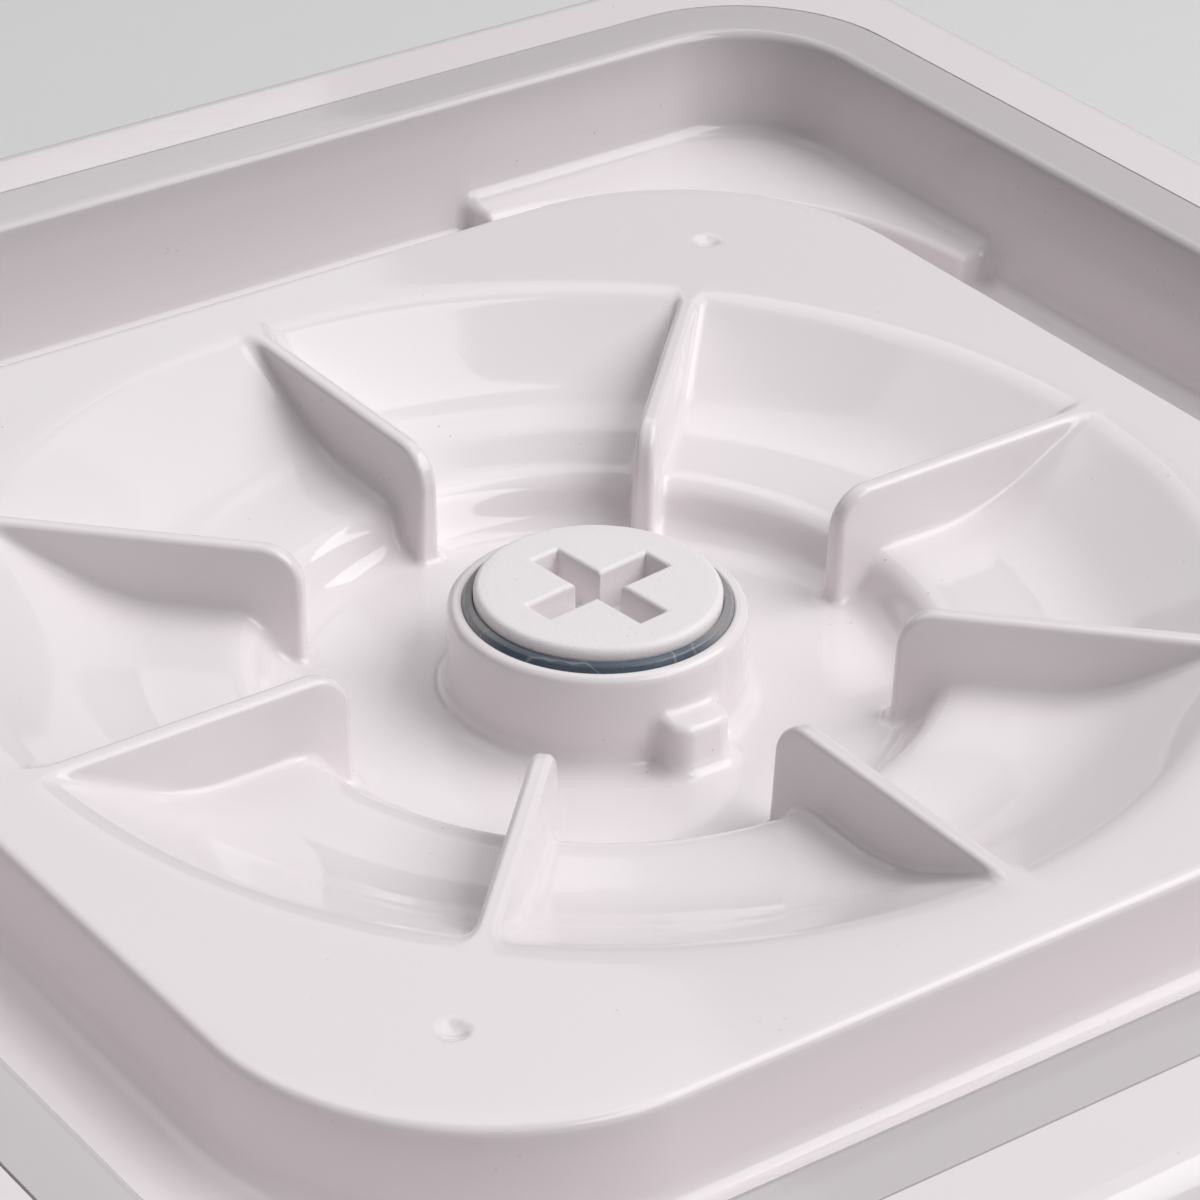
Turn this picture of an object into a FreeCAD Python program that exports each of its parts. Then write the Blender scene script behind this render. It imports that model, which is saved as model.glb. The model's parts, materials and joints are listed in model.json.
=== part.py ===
"""Resin wash station: a base unit with a ribbed deck, a driven hub and a slanted control panel.

Frame: +Z up, origin on the table under the middle of the footprint, front towards -Y.
Most pieces are drawn about the drive axis, with heights taken from the deck face, and are
moved to the row frame when they are written.
"""

import FreeCAD, Part

import math
import os

from FreeCAD import Placement, Rotation, Vector

# ------------------------------------------------------------------ driving dimensions (mm)

# Drive disc and hub, from the axis outward
spindle_r = 4.0
disc_r = 13.7
disc_sink = 0.9            # disc face below the deck face
disc_thickness = 6.5
disc_edge_r = 0.8
disc_neck_r = 6.0
cross_reach = 8.9          # half length of the cross socket
cross_width = 3.4
cross_depth = 4.6
cross_turn = 6.5           # degrees, how the disc happens to stand at rest
seal_gap = 1.2             # between disc and collar, filled by the seal
seal_clearance = 0.3
seal_height = 3.0
seal_sink = 1.7            # seal below the disc face
collar_wall = 1.7
collar_sink = 2.3          # collar top below the deck face
collar_edge_r = 1.1
collar_lip_r = 0.45        # inner edge of the collar
key_width = 7.5
key_reach = 3.6
key_sink = 8.2
key_edge_r = 1.2

# Deck recess, from the hub outward
ring_width = 18.4
floor_depth = 14.0
step_run = 3.4
mid_depth = 8.5
mid_width = 15.3
cone_run = 16.3
rim_edge_r = 1.2
floor_fillet = 2.0
step_edge_r = 1.6
cone_foot_r = 2.4
rib_count = 8
rib_thickness = 2.3
rib_draft = 1.2            # degrees each side
rib_nose_gap = 16.4        # hub wall to rib nose
rib_nose_r = 4.6

# Deck, channel and well
deck_margin = 10.0         # rim of the recess to the deck edge
deck_corner_r = 31.5
deck_edge_r = 1.1
channel_width = 18.5
channel_depth = 12.0
well_corner_r = 14.0
well_wall_lean = 1.9       # how far the well wall leans out over its height
rim_rise = 6.4             # rim above the deck face
rim_lip_r = 1.3
tub_wall = 2.6
flange_width = 8.0
pad_height = 4.3
pad_start = 53.5           # where the corner pads begin, from the axis
pad_arc_r = 45.0
dimple_inset = 0.75        # share of the deck half where the dimples lie
dimple_r = 1.65
dimple_depth = 0.6

# Housing
deck_height = 95.0         # deck face above the table
housing_wall = 3.0
housing_land = 12.0        # flange edge to the side wall
housing_corner_r = 26.0
housing_edge_r = 4.5
side_draft = 0.7           # degrees
panel_tilt = 25.0          # degrees from upright
panel_drop = 49.0          # foot of the slanted panel below the deck face
knee_r = 18.0
fit_gap = 0.3              # clearance between mouldings
ledge_width = 3.2
ledge_thickness = 3.0

# Base plate and feet
foot_height = 6.0
foot_r = 9.0
foot_inset = 26.0
plate_thickness = 3.0
plate_sink = 0.6           # base plate above the lower edge of the housing
post_r = 4.6
post_inset = 7.6
vent_slot = 2.4
vent_length = 26.0
vent_count = 9
vent_pitch = 5.2
vent_start = 12.0          # rear pocket to its first vent
lip_room = 6.0             # base plate's lip behind the screw posts
lip_thickness = 2.0
lip_height = 3.0
overlap = 0.5              # how far joined forms run into each other

# Screws
screw_r = 1.45
screw_head_r = 2.8
screw_head_height = 1.9
screw_length = 10.0
boss_r = 3.8

# Bearings
upper_bearing_r = 10.5
upper_bearing_height = 5.0
lower_bearing_r = 11.0
lower_bearing_height = 7.0
race_thickness = 1.6
race_gap = 0.25
running_gap = 0.05

# Gear train and motor
gear_module = 1.25
gear_teeth = 48
pinion_teeth = 12
gear_width = 7.0
gear_web = 3.0
gear_hub_r = 9.0
gear_rim = 2.5
tooth_play = 0.22
gear_sink = 27.0           # top of the gear below the deck face
bracket_sink = 38.0        # top of the motor bracket below the deck face
bracket_thickness = 3.0
bearing_cup_wall = 3.0
motor_r = 18.0
motor_room = 7.4           # base plate to the motor's can
motor_cap_length = 3.0
motor_terminal = 2.0
motor_shaft_r = 1.6
motor_nose_r = 6.0
motor_nose_height = 2.5
motor_screw_pcd = 25.0
motor_screw_bite = 2.0     # into the can's face

# Magnets under the disc face
magnet_r = 2.5
magnet_height = 2.6
magnet_circle_r = 9.6
clip_thickness = 0.9

# Control panel, in the plane of the slanted face
panel_centre_up = 29.5     # along the slope from its foot to the middle of the controls
window_width = 58.0
window_height = 24.0
window_thickness = 1.4
window_proud = 0.2
window_ledge = 2.5
window_corner_r = 4.0
window_slack = 0.1
knob_offset = 58.0
knob_r = 12.5
knob_height = 9.5
knob_flutes = 20
knob_flute = 1.6           # across each flute
knob_step = 1.0            # round the knob's face
knob_gap = 1.0
knob_press = 0.8
encoder_size = 12.4
encoder_height = 7.0
encoder_shaft_r = 3.0
encoder_bushing_r = 4.0
encoder_nut_height = 1.8
button_offset = 50.0
button_spread = 11.0       # each button above or below the panel middle
button_r = 5.6
button_proud = 1.6
button_travel = 1.2
button_flange = 1.0
button_stem_r = 1.5
button_entry = 0.6         # how far the stem stands in its switch
light_r = 1.5
board_gap = 11.0           # panel back to the panel board
board_thickness = 1.6
panel_board_width = 150.0
panel_board_height = 36.0
panel_hole_inset_x = 6.0   # board holes from the board's ends
panel_hole_inset_y = 5.0
panel_screw_length = 6.0
switch_height = 4.0
button_flange_reach = 1.2  # flange beyond the cap's hole
plunger_thickness = 1.2
plunger_reach = 1.2        # plunger and shaft collar beyond the shaft
encoder_wall = 0.6
shaft_seat = 3.0           # knob face down to the shaft's end
pointer_width = 1.2
pointer_depth = 0.8
light_flange = 0.8
light_flange_thickness = 1.2
light_proud = 0.3

# Rear connections
pocket_width = 62.0
pocket_height = 30.0
pocket_depth = 5.0
pocket_floor = 2.6
pocket_centre_z = 38.0
switch_offset = -15.0
inlet_offset = 17.0
rocker_r = 7.4
rocker_width = 9.0
rocker_swing = 9.0         # degrees either side of level
rocker_proud = 1.6
rocker_pin_r = 1.2
rocker_stub = 1.2          # pin beyond the rocker's side
rocker_dip = 1.2           # middle of the rocker's face above its pivot
switch_rim = 1.2
switch_wall = 1.8
inlet_barrel_r = 4.0
inlet_flange_r = 5.6
inlet_bore_r = 2.8
inlet_pin_r = 1.0
inlet_length = 15.0
inlet_flange = 1.6
inlet_depth = 9.5
inlet_pin_root = 2.5
inlet_nut_height = 2.2

# Control board on the base plate
board_length = 82.0
board_width = 58.0
board_hole_inset = 4.0
header_height = 7.0
header_depth = 6.4
header_widths = (7.6, 10.0, 12.4)
header_pitch = 17.0
header_wall = 0.8
capacitor_r = 5.0
capacitor_height = 13.0
heatsink_length = 22.0
heatsink_height = 12.0
heatsink_base = 3.0
heatsink_fin = 1.5
heatsink_fins = 6
standoff_height = 6.0

# ------------------------------------------------------------------ sizes that follow

collar_inner_r = disc_r + seal_gap
hub_r = collar_inner_r + collar_wall
floor_r = hub_r + ring_width
step_r = floor_r + step_run
mid_r = step_r + mid_width
rim_r = mid_r + cone_run
deck_half = rim_r + deck_margin
well_half = deck_half + channel_width
well_top_half = well_half + well_wall_lean
flange_half = well_top_half + flange_width
rib_nose = hub_r + rib_nose_gap

top_z = rim_rise
rebate_z = top_z - tub_wall
flange_screw_end = rebate_z + tub_wall * 0.75
channel_under = -channel_depth - tub_wall
floor_under = -floor_depth - tub_wall
table = -deck_height
skirt_z = table + foot_height
plate_under = skirt_z + plate_sink
plate_top = plate_under + plate_thickness
lean_side = math.tan(math.radians(side_draft))
body_height = top_z - skirt_z
housing_half = flange_half + fit_gap + housing_land
knee_z = -panel_drop
panel_slope = math.tan(math.radians(panel_tilt))
front_reach = housing_half + (top_z - knee_z) * panel_slope
back_reach = housing_half + body_height * lean_side
front_foot = front_reach + (knee_z - skirt_z) * lean_side
knob_face = knob_gap + knob_press + knob_height
slope_sine = math.sin(math.radians(panel_tilt))
slope_cosine = math.cos(math.radians(panel_tilt))
knob_front = front_reach + knob_face * slope_cosine + (knob_r - panel_centre_up) * slope_sine
front_extent = max(front_foot, knob_front)
axis_y = (front_extent - back_reach) / 2

disc_top = -disc_sink
disc_under = disc_top - disc_thickness
shelf_top = disc_under - seal_gap
bearing_seat_top = shelf_top - tub_wall
upper_bearing_z = bearing_seat_top - upper_bearing_height
hub_skirt_z = upper_bearing_z - fit_gap
bracket_top = -bracket_sink
lower_bearing_z = bracket_top - lower_bearing_height
gear_z = -gear_sink - gear_width
gear_distance = gear_module * (gear_teeth + pinion_teeth) / 2
neck_end = -gear_sink + fit_gap
motor_face = bracket_top - bracket_thickness
motor_end = plate_top + motor_room + motor_cap_length

panel_middle_y = -front_reach + panel_centre_up * slope_sine
panel_middle_z = knee_z + panel_centre_up * slope_cosine
panel_back = -housing_wall
panel_board_face = panel_back - board_gap

BIG = 400.0


# ------------------------------------------------------------------ drawing helpers

def rounded_wire(corners, to_space):
    """Closed outline of straight runs and tangent arcs: corners are (u, v, radius)."""
    count = len(corners)
    tangents = []
    for index, (u, v, radius) in enumerate(corners):
        here = Vector(u, v, 0)
        before = corners[index - 1]
        after = corners[(index + 1) % count]
        back = (Vector(before[0], before[1], 0) - here).normalize()
        ahead = (Vector(after[0], after[1], 0) - here).normalize()
        if radius <= 0:
            tangents.append((here, None, here))
            continue
        half = back.getAngle(ahead) / 2
        setback = radius / math.tan(half)
        middle = (back + ahead).normalize() * (radius / math.sin(half) - radius)
        tangents.append((here + back * setback, here + middle, here + ahead * setback))
    edges = []
    for index, (start, middle, end) in enumerate(tangents):
        if middle is not None:
            points = [to_space(p.x, p.y) for p in (start, middle, end)]
            edges.append(Part.Arc(*points).toShape())
        following = tangents[(index + 1) % count][0]
        if end.distanceToPoint(following) > 1e-6:
            edges.append(Part.makeLine(to_space(end.x, end.y), to_space(following.x, following.y)))
    return Part.Wire(edges)


def in_plan(z):
    return lambda u, v: Vector(u, v, z)


def in_section(u, v):
    """Section plane of turned pieces: u is the radius, v the height."""
    return Vector(u, 0, v)


def in_side_view(u, v):
    return Vector(0, u, v)


def turned(corners):
    """Piece turned about the Z axis from a section of (radius, height, corner radius)."""
    return Part.Face(rounded_wire(corners, in_section)).revolve(Vector(), Vector(0, 0, 1), 360)


def disc(radius, z0, z1, x=0.0, y=0.0):
    return Part.makeCylinder(radius, z1 - z0, Vector(x, y, z0))


def tube(outer, inner, z0, z1, x=0.0, y=0.0):
    return disc(outer, z0, z1, x, y).cut(disc(inner, z0, z1, x, y))


def box(x0, x1, y0, y1, z0, z1):
    return Part.makeBox(x1 - x0, y1 - y0, z1 - z0, Vector(x0, y0, z0))


def rectangle_corners(half_x, half_y, corner, x=0.0, y=0.0):
    signs = ((1, 1), (-1, 1), (-1, -1), (1, -1))
    return [(x + sx * half_x, y + sy * half_y, corner) for sx, sy in signs]


def pad(half_x, half_y, corner, z0, z1, x=0.0, y=0.0):
    """Upright prism on a rounded rectangle."""
    outline = rounded_wire(rectangle_corners(half_x, half_y, corner, x, y), in_plan(z0))
    return Part.Face(outline).extrude(Vector(0, 0, z1 - z0))


def leaning_pad(half0, half1, corner, z0, z1):
    """Square block whose side grows from half0 at z0 to half1 at z1, with rounded corners."""
    block = Part.makeWedge(-half0, z0, -half0, -half1, -half1, half0, z1, half0, half1, half1)
    block.rotate(Vector(), Vector(1, 0, 0), 90)
    height = abs(z1 - z0)
    return round_edges(block, corner, lambda edge: abs(edge.Vertexes[0].Z - edge.Vertexes[1].Z) > height / 2)


def offset_run(points, distance):
    """The open polyline of (radius, height) points, moved sideways by distance with mitres."""
    normals = []
    for (r0, z0), (r1, z1) in zip(points, points[1:]):
        length = math.hypot(r1 - r0, z1 - z0)
        normals.append(((z1 - z0) / length, -(r1 - r0) / length))
    moved = []
    for index, (r, z) in enumerate(points):
        first = normals[max(index - 1, 0)]
        second = normals[min(index, len(normals) - 1)]
        share = distance / (1 + first[0] * second[0] + first[1] * second[1])
        moved.append((r + share * (first[0] + second[0]), z + share * (first[1] + second[1])))
    return moved


def fused(first, *others):
    return first.fuse(list(others)).removeSplitter()


def around(shape, angle):
    turned_copy = shape.copy()
    turned_copy.rotate(Vector(), Vector(0, 0, 1), angle)
    return turned_copy


def moved(shape, x=0.0, y=0.0, z=0.0):
    shifted = shape.copy()
    shifted.translate(Vector(x, y, z))
    return shifted


def hexagon(across):
    """Corners of a nut's outline."""
    turns = [math.radians(60 * index) for index in range(6)]
    return [(across * math.cos(turn), across * math.sin(turn), 0) for turn in turns]


def four_ways(x, y):
    return [(sx * x, sy * y) for sx in (-1, 1) for sy in (-1, 1)]


def round_edges(shape, radius, wanted):
    edges = [edge for edge in shape.Edges if wanted(edge)]
    return shape.makeFillet(radius, edges)


def ends_at_height(edge, z):
    return all(abs(vertex.Z - z) < 1e-4 for vertex in edge.Vertexes)


def many_sided(radius, sides, z0, z1):
    """Prism for a small round that repeats, with few faces."""
    turns = [2 * math.pi * index / sides for index in range(sides + 1)]
    outline = Part.makePolygon([Vector(radius * math.cos(a), radius * math.sin(a), z0) for a in turns])
    return Part.Face(outline).extrude(Vector(0, 0, z1 - z0))


def screw(x, y, seat_z, length=screw_length):
    """Screw with its head under seat_z and its shank pointing up."""
    head = many_sided(screw_head_r, 12, seat_z - screw_head_height, seat_z)
    shank = many_sided(screw_r, 8, seat_z, seat_z + length)
    return moved(fused(head, shank), x, y)


# ------------------------------------------------------------------ well and deck

def recess_run():
    """Recess surface from the hub foot out to the rim, as (radius, height)."""
    return [
        (hub_r, -floor_depth),
        (floor_r, -floor_depth),
        (step_r, -mid_depth),
        (mid_r, -mid_depth),
        (rim_r, 0.0),
    ]


def air_over_deck():
    """The turned hollow of the recess, with the hub standing in it."""
    clear = top_z + BIG / 10
    hub_foot, floor_edge, step_edge, cone_foot, rim = recess_run()
    return turned([
        (0, clear, 0),
        (0, hub_skirt_z - 1, 0),
        (disc_neck_r + seal_gap, hub_skirt_z - 1, 0),
        (disc_neck_r + seal_gap, shelf_top, 0),
        (collar_inner_r, shelf_top, 0),
        (collar_inner_r, -collar_sink, collar_lip_r),
        (hub_r, -collar_sink, collar_edge_r),
        (*hub_foot, floor_fillet),
        (*floor_edge, floor_fillet),
        (*step_edge, step_edge_r),
        (*cone_foot, cone_foot_r),
        (*rim, rim_edge_r),
        (rim_r + rim_edge_r, 0.0, 0),
        (rim_r + rim_edge_r, clear, 0),
    ])


def rib():
    """One rib along +X: a drafted slab with a rounded nose."""
    outer = rim_r + rim_edge_r + 1.0
    foot = floor_under + 1.0
    side = Part.Face(rounded_wire(
        [(rib_nose, foot, 0), (outer, foot, 0), (outer, 0.0, 0), (rib_nose, 0.0, rib_nose_r)], in_section))
    slab = moved(side.extrude(Vector(0, rib_thickness * 2, 0)), 0, -rib_thickness)
    spread = -foot * math.tan(math.radians(rib_draft))
    half = rib_thickness / 2
    section = Part.Face(rounded_wire([
        (-half - spread, foot, 0),
        (half + spread, foot, 0),
        (half, 0.0, 0),
        (-half, 0.0, 0),
    ], in_side_view))
    return slab.common(section.extrude(Vector(outer + 1, 0, 0)))


def bowl_under():
    """The recess wall's outer side, one wall thickness under its face."""
    run = offset_run(recess_run(), tub_wall)
    corners = [(0.0, run[0][1], 0)] + [(r, z, 0) for r, z in run[1:]]
    rim_outer, rim_low = run[-1]
    return turned(corners + [(rim_outer, -tub_wall / 2, 0), (0.0, -tub_wall / 2, 0)])


def corner_pad():
    low = -channel_depth - tub_wall / 2
    high = -channel_depth + pad_height
    centre = deck_half - deck_corner_r
    block = box(pad_start, well_half + 0.2, pad_start, well_half + 0.2, low, high)
    block = block.common(leaning_pad(well_half, well_half + tub_wall / 2, well_corner_r, low, high))
    return block.cut(disc(pad_arc_r, low - 1, high + 1, centre, centre))


def drive_key():
    """The nub on the hub that lines a container up with the drive."""
    low = -floor_depth - overlap
    tip = hub_r + key_reach
    block = pad(key_width / 2, tip / 2, key_width / 3, low, -key_sink, 0, -tip / 2)
    block = block.cut(disc(collar_inner_r + collar_wall / 2, low - 1, 1))
    return round_edges(
        block, key_edge_r, lambda edge: ends_at_height(edge, -key_sink) and edge.BoundBox.YMin < -hub_r)


def bracket_posts():
    """Where the motor bracket hangs from the tub, about the drive axis."""
    near = gear_distance * 0.86
    far = gear_distance * 1.72
    return [(-near, -near), (-near, near), (far, -near), (far, near)]


def flange_screw_places():
    middle = well_top_half + tub_wall + fit_gap * 2 + screw_head_r
    along = well_half * 0.45
    return [place for sign in (-1, 1) for place in (
        (sign * middle, -along), (sign * middle, along), (-along, sign * middle), (along, sign * middle))]


def well_tray():
    """Flange, leaning wall and channel floor of the well, open in the middle under the deck plate."""
    outer_low = well_half + tub_wall
    outer_high = well_top_half + tub_wall
    corner = well_corner_r + tub_wall
    shell = leaning_pad(outer_low, outer_high, corner, channel_under, top_z)
    flange = pad(flange_half, flange_half, corner + flange_width - tub_wall, rebate_z, top_z)
    well = leaning_pad(well_half, well_top_half, well_corner_r, -channel_depth, top_z)
    pads = [around(corner_pad(), 90 * turn) for turn in range(4)]
    tray = fused(fused(shell, flange).cut(well), *pads)
    inner = deck_half - tub_wall
    holes = [pad(inner, inner, deck_corner_r - tub_wall, channel_under - 1, -channel_depth + 1)]
    holes += [disc(screw_r, rebate_z - 1, flange_screw_end, x, y) for x, y in flange_screw_places()]
    return tray.cut(holes)


def deck_plate():
    """The raised deck: its skirt stands on the tray, and the recess and the hub hang in it."""
    plate = pad(deck_half, deck_half, deck_corner_r, -channel_depth, 0.0)
    plate = round_edges(plate, deck_edge_r, lambda edge: ends_at_height(edge, 0.0))
    inner = deck_half - tub_wall
    plate = plate.cut(pad(inner, inner, deck_corner_r - tub_wall, channel_under, -tub_wall))
    posts = [disc(boss_r, bracket_top, -tub_wall / 2, x, y) for x, y in bracket_posts()]
    bearing_boss = disc(upper_bearing_r + tub_wall, hub_skirt_z, -floor_depth)
    plate = fused(plate, bowl_under(), disc(hub_r, floor_under, -collar_sink), bearing_boss, *posts)
    plate = plate.cut(air_over_deck())
    plate = fused(plate, drive_key())
    dimple = Part.makeSphere(dimple_ball_r(), Vector(0, 0, dimple_ball_r() - dimple_depth))
    spot = deck_half * dimple_inset
    holes = [moved(dimple, x, y) for x, y in four_ways(spot, spot)]
    holes.append(disc(upper_bearing_r, hub_skirt_z - 1, bearing_seat_top))
    holes += [disc(screw_r, bracket_top - 1, bracket_top + screw_length, x, y) for x, y in bracket_posts()]
    return plate.cut(holes)


def recess_ribs():
    """The ribs that stand in the recess, flush with the deck."""
    standing = rib().common(air_over_deck())
    return Part.makeCompound([around(standing, 360 / rib_count * index) for index in range(rib_count)])


def dimple_ball_r():
    return (dimple_r ** 2 + dimple_depth ** 2) / (2 * dimple_depth)


# ------------------------------------------------------------------ drive parts

def cross_socket():
    reach = cross_reach
    half = cross_width / 2
    low = disc_top - cross_depth
    arm = box(-reach, reach, -half, half, low, 0)
    return around(fused(arm, around(arm, 90)), cross_turn)


def magnet_places():
    """Two magnets between the arms of the cross, opposite each other."""
    angles = [math.radians(cross_turn + 45 + 180 * index) for index in range(2)]
    return [(magnet_circle_r * math.cos(a), magnet_circle_r * math.sin(a)) for a in angles]


def drive_disc():
    plate = turned([
        (0, disc_under, 0),
        (disc_r, disc_under, 0),
        (disc_r, disc_top, disc_edge_r),
        (0, disc_top, 0),
    ])
    neck = disc(disc_neck_r, neck_end, disc_under + 1)
    bore = disc(spindle_r, neck_end - 1, spindle_top())
    depth = disc_under + magnet_height
    pockets = [disc(magnet_r, disc_under - 1, depth, x, y) for x, y in magnet_places()]
    return fused(plate, neck).cut([cross_socket(), bore] + pockets)


def spindle_top():
    return disc_top - cross_depth - 1.0


def disc_magnets():
    depth = disc_under + magnet_height
    return Part.makeCompound([disc(magnet_r, disc_under, depth, x, y) for x, y in magnet_places()])


def hub_seal():
    """Ring between the disc and the collar: a foot on the collar's shelf and a lip beside the disc."""
    inner = disc_r + seal_clearance
    top = disc_top - seal_sink
    foot = top - seal_height
    lip = (collar_inner_r - inner) * 0.3
    return turned([
        (inner + lip, shelf_top, 0),
        (collar_inner_r, shelf_top, 0),
        (collar_inner_r, top, 0),
        (inner, top, 0),
        (inner, foot, 0),
        (inner + lip, foot, 0),
    ])


def bearing_rings(bore_r, outer_r, z0, height):
    """Outer ring with its shields, and inner ring, of one shielded ball bearing."""
    inner_out = bore_r + race_thickness
    z1 = z0 + height
    return tube(outer_r, inner_out + race_gap, z0, z1), tube(inner_out, bore_r, z0, z1)


def drive_spindle():
    clip_groove = tube(spindle_r + 1, clip_r(), lower_bearing_z - clip_thickness, lower_bearing_z)
    return disc(spindle_r, lower_bearing_z - 4.0, spindle_top()).cut(clip_groove)


def clip_r():
    return spindle_r * 0.85


def spindle_clip():
    """E-clip in the spindle's groove under the lower bearing."""
    ring = tube(spindle_r * 1.5, clip_r(), lower_bearing_z - clip_thickness, lower_bearing_z)
    mouth = spindle_r * 0.62
    return ring.cut(box(0, spindle_r * 2, -mouth, mouth, lower_bearing_z - 2, lower_bearing_z + 1))


def gear_outline(teeth, z):
    """Closed involute outline, a tooth centred on +X."""
    pressure = math.radians(20)
    pitch_r = gear_module * teeth / 2
    base_r = pitch_r * math.cos(pressure)
    tip_r = pitch_r + gear_module
    root_r = pitch_r - 1.25 * gear_module
    play = tooth_play / (2 * pitch_r)
    half_at_pitch = math.pi / (2 * teeth) - play
    involute = math.tan(pressure) - pressure

    def half_angle(radius):
        if radius <= base_r:
            return half_at_pitch + involute
        roll = math.acos(base_r / radius)
        return half_at_pitch + involute - (math.tan(roll) - roll)

    def point(radius, angle):
        return Vector(radius * math.cos(angle), radius * math.sin(angle), z)

    start_r = max(base_r, root_r)
    levels = [start_r + (tip_r - start_r) * step / 3 for step in range(4)]
    edges = []
    for index in range(teeth):
        middle = 2 * math.pi * index / teeth
        after = 2 * math.pi * (index + 1) / teeth
        rising = [point(root_r, middle - half_angle(root_r))] if root_r < start_r - 0.01 else []
        rising += [point(r, middle - half_angle(r)) for r in levels]
        falling = [point(r, middle + half_angle(r)) for r in reversed(levels)]
        falling += [point(root_r, middle + half_angle(root_r))] if root_r < start_r - 0.01 else []
        run = rising + falling + [point(root_r if rising else start_r, after - half_angle(start_r))]
        edges += [Part.makeLine(a, b) for a, b in zip(run, run[1:]) if a.distanceToPoint(b) > 1e-6]
    return Part.Wire(edges)


def spur_gear(teeth, z0, z1):
    return Part.Face(gear_outline(teeth, z0)).extrude(Vector(0, 0, z1 - z0))


def spindle_gear():
    """Drive gear with a thin web, and a hub for its grub screw."""
    z1 = gear_z + gear_width
    rim_inner = gear_module * (gear_teeth / 2 - 1.25) - gear_rim
    web_top = gear_z + gear_web
    body = spur_gear(gear_teeth, gear_z, z1).cut(tube(rim_inner, gear_hub_r, web_top, z1 + 1))
    step_z = bracket_top + fit_gap * 2
    hub = disc(gear_hub_r, step_z, gear_z + 1)
    spacer = disc(spindle_r + race_thickness, lower_bearing_top(), step_z + 1)
    grub = Part.makeCylinder(screw_r, gear_hub_r + 1, Vector(0, 0, grub_z()), Vector(0, 1, 0))
    return fused(body, hub, spacer).cut([disc(spindle_r, lower_bearing_z, z1 + 1), grub])


def lower_bearing_top():
    return lower_bearing_z + lower_bearing_height


def grub_z():
    return (gear_z + bracket_top) / 2 + fit_gap


def gear_grub_screw():
    length = gear_hub_r - spindle_r - 0.4
    return Part.makeCylinder(screw_r, length, Vector(0, spindle_r, grub_z()), Vector(0, 1, 0))


def motor_pinion():
    """Twelve tooth pinion, turned half a pitch so that it meshes at rest."""
    low = gear_z - 1.0
    body = spur_gear(pinion_teeth, low, low + gear_width + 2.0)
    body = around(body, 180 / pinion_teeth).cut(disc(motor_shaft_r, low - 1, low + gear_width + 3))
    return moved(body, gear_distance)


def motor_shaft():
    return disc(motor_shaft_r, motor_end + 2, gear_z + gear_width + 1.6, gear_distance)


def motor_screw_places():
    radius = motor_screw_pcd / 2
    return [(gear_distance, radius), (gear_distance, -radius)]


def motor_screws():
    """Screws through the bracket into the can, with their heads on the bracket."""
    screws = []
    for x, y in motor_screw_places():
        upside = screw(0, 0, 0.0, bracket_thickness + motor_screw_bite)
        upside.rotate(Vector(), Vector(1, 0, 0), 180)
        screws.append(moved(upside, x, y, bracket_top))
    return Part.makeCompound(screws)


def motor_bracket():
    """Plate with a bearing cup that carries the spindle and the motor."""
    margin = boss_r + 2.5
    xs = [x for x, y in bracket_posts()]
    ys = [y for x, y in bracket_posts()]
    half_x = (max(xs) - min(xs)) / 2 + margin
    half_y = (max(ys) - min(ys)) / 2 + margin
    plate = pad(half_x, half_y, margin, motor_face, bracket_top, (max(xs) + min(xs)) / 2, 0)
    cup_z = lower_bearing_z - bearing_cup_wall * 0.6
    cup = disc(lower_bearing_r + bearing_cup_wall, cup_z, bracket_top)
    holes = [disc(lower_bearing_r, lower_bearing_z, bracket_top + 1),
             disc(lower_bearing_r - race_thickness, cup_z - 1, bracket_top + 1),
             disc(motor_nose_r, motor_face - 1, bracket_top + 1, gear_distance, 0)]
    screws = bracket_posts() + motor_screw_places()
    holes += [disc(screw_r, motor_face - 1, bracket_top + 1, x, y) for x, y in screws]
    return fused(plate, cup).cut(holes)


def motor_can():
    """Drawn can with a nose for its shaft bearing."""
    nose = disc(motor_nose_r, motor_face - 1, motor_face + motor_nose_height)
    can = fused(disc(motor_r, motor_end, motor_face), nose)
    holes = [disc(motor_shaft_r + running_gap, motor_end - 1, bracket_top + 1)]
    bite = motor_face - motor_screw_bite
    holes += [disc(screw_r, bite, motor_face + 1, x - gear_distance, y) for x, y in motor_screw_places()]
    return moved(can.cut(holes), gear_distance)


def motor_end_cap():
    """Moulded cap on the can's foot, with its two terminals."""
    low = motor_end - motor_cap_length
    cap = disc(motor_r - 1.5, low, motor_end)
    terminal = motor_r * 0.6
    tabs = [box(-0.3, 0.3, sign * terminal - 1.4, sign * terminal + 1.4, low - motor_terminal, low + 1)
            for sign in (-1, 1)]
    return moved(fused(cap, *tabs), gear_distance)


# ------------------------------------------------------------------ housing and base

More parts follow.
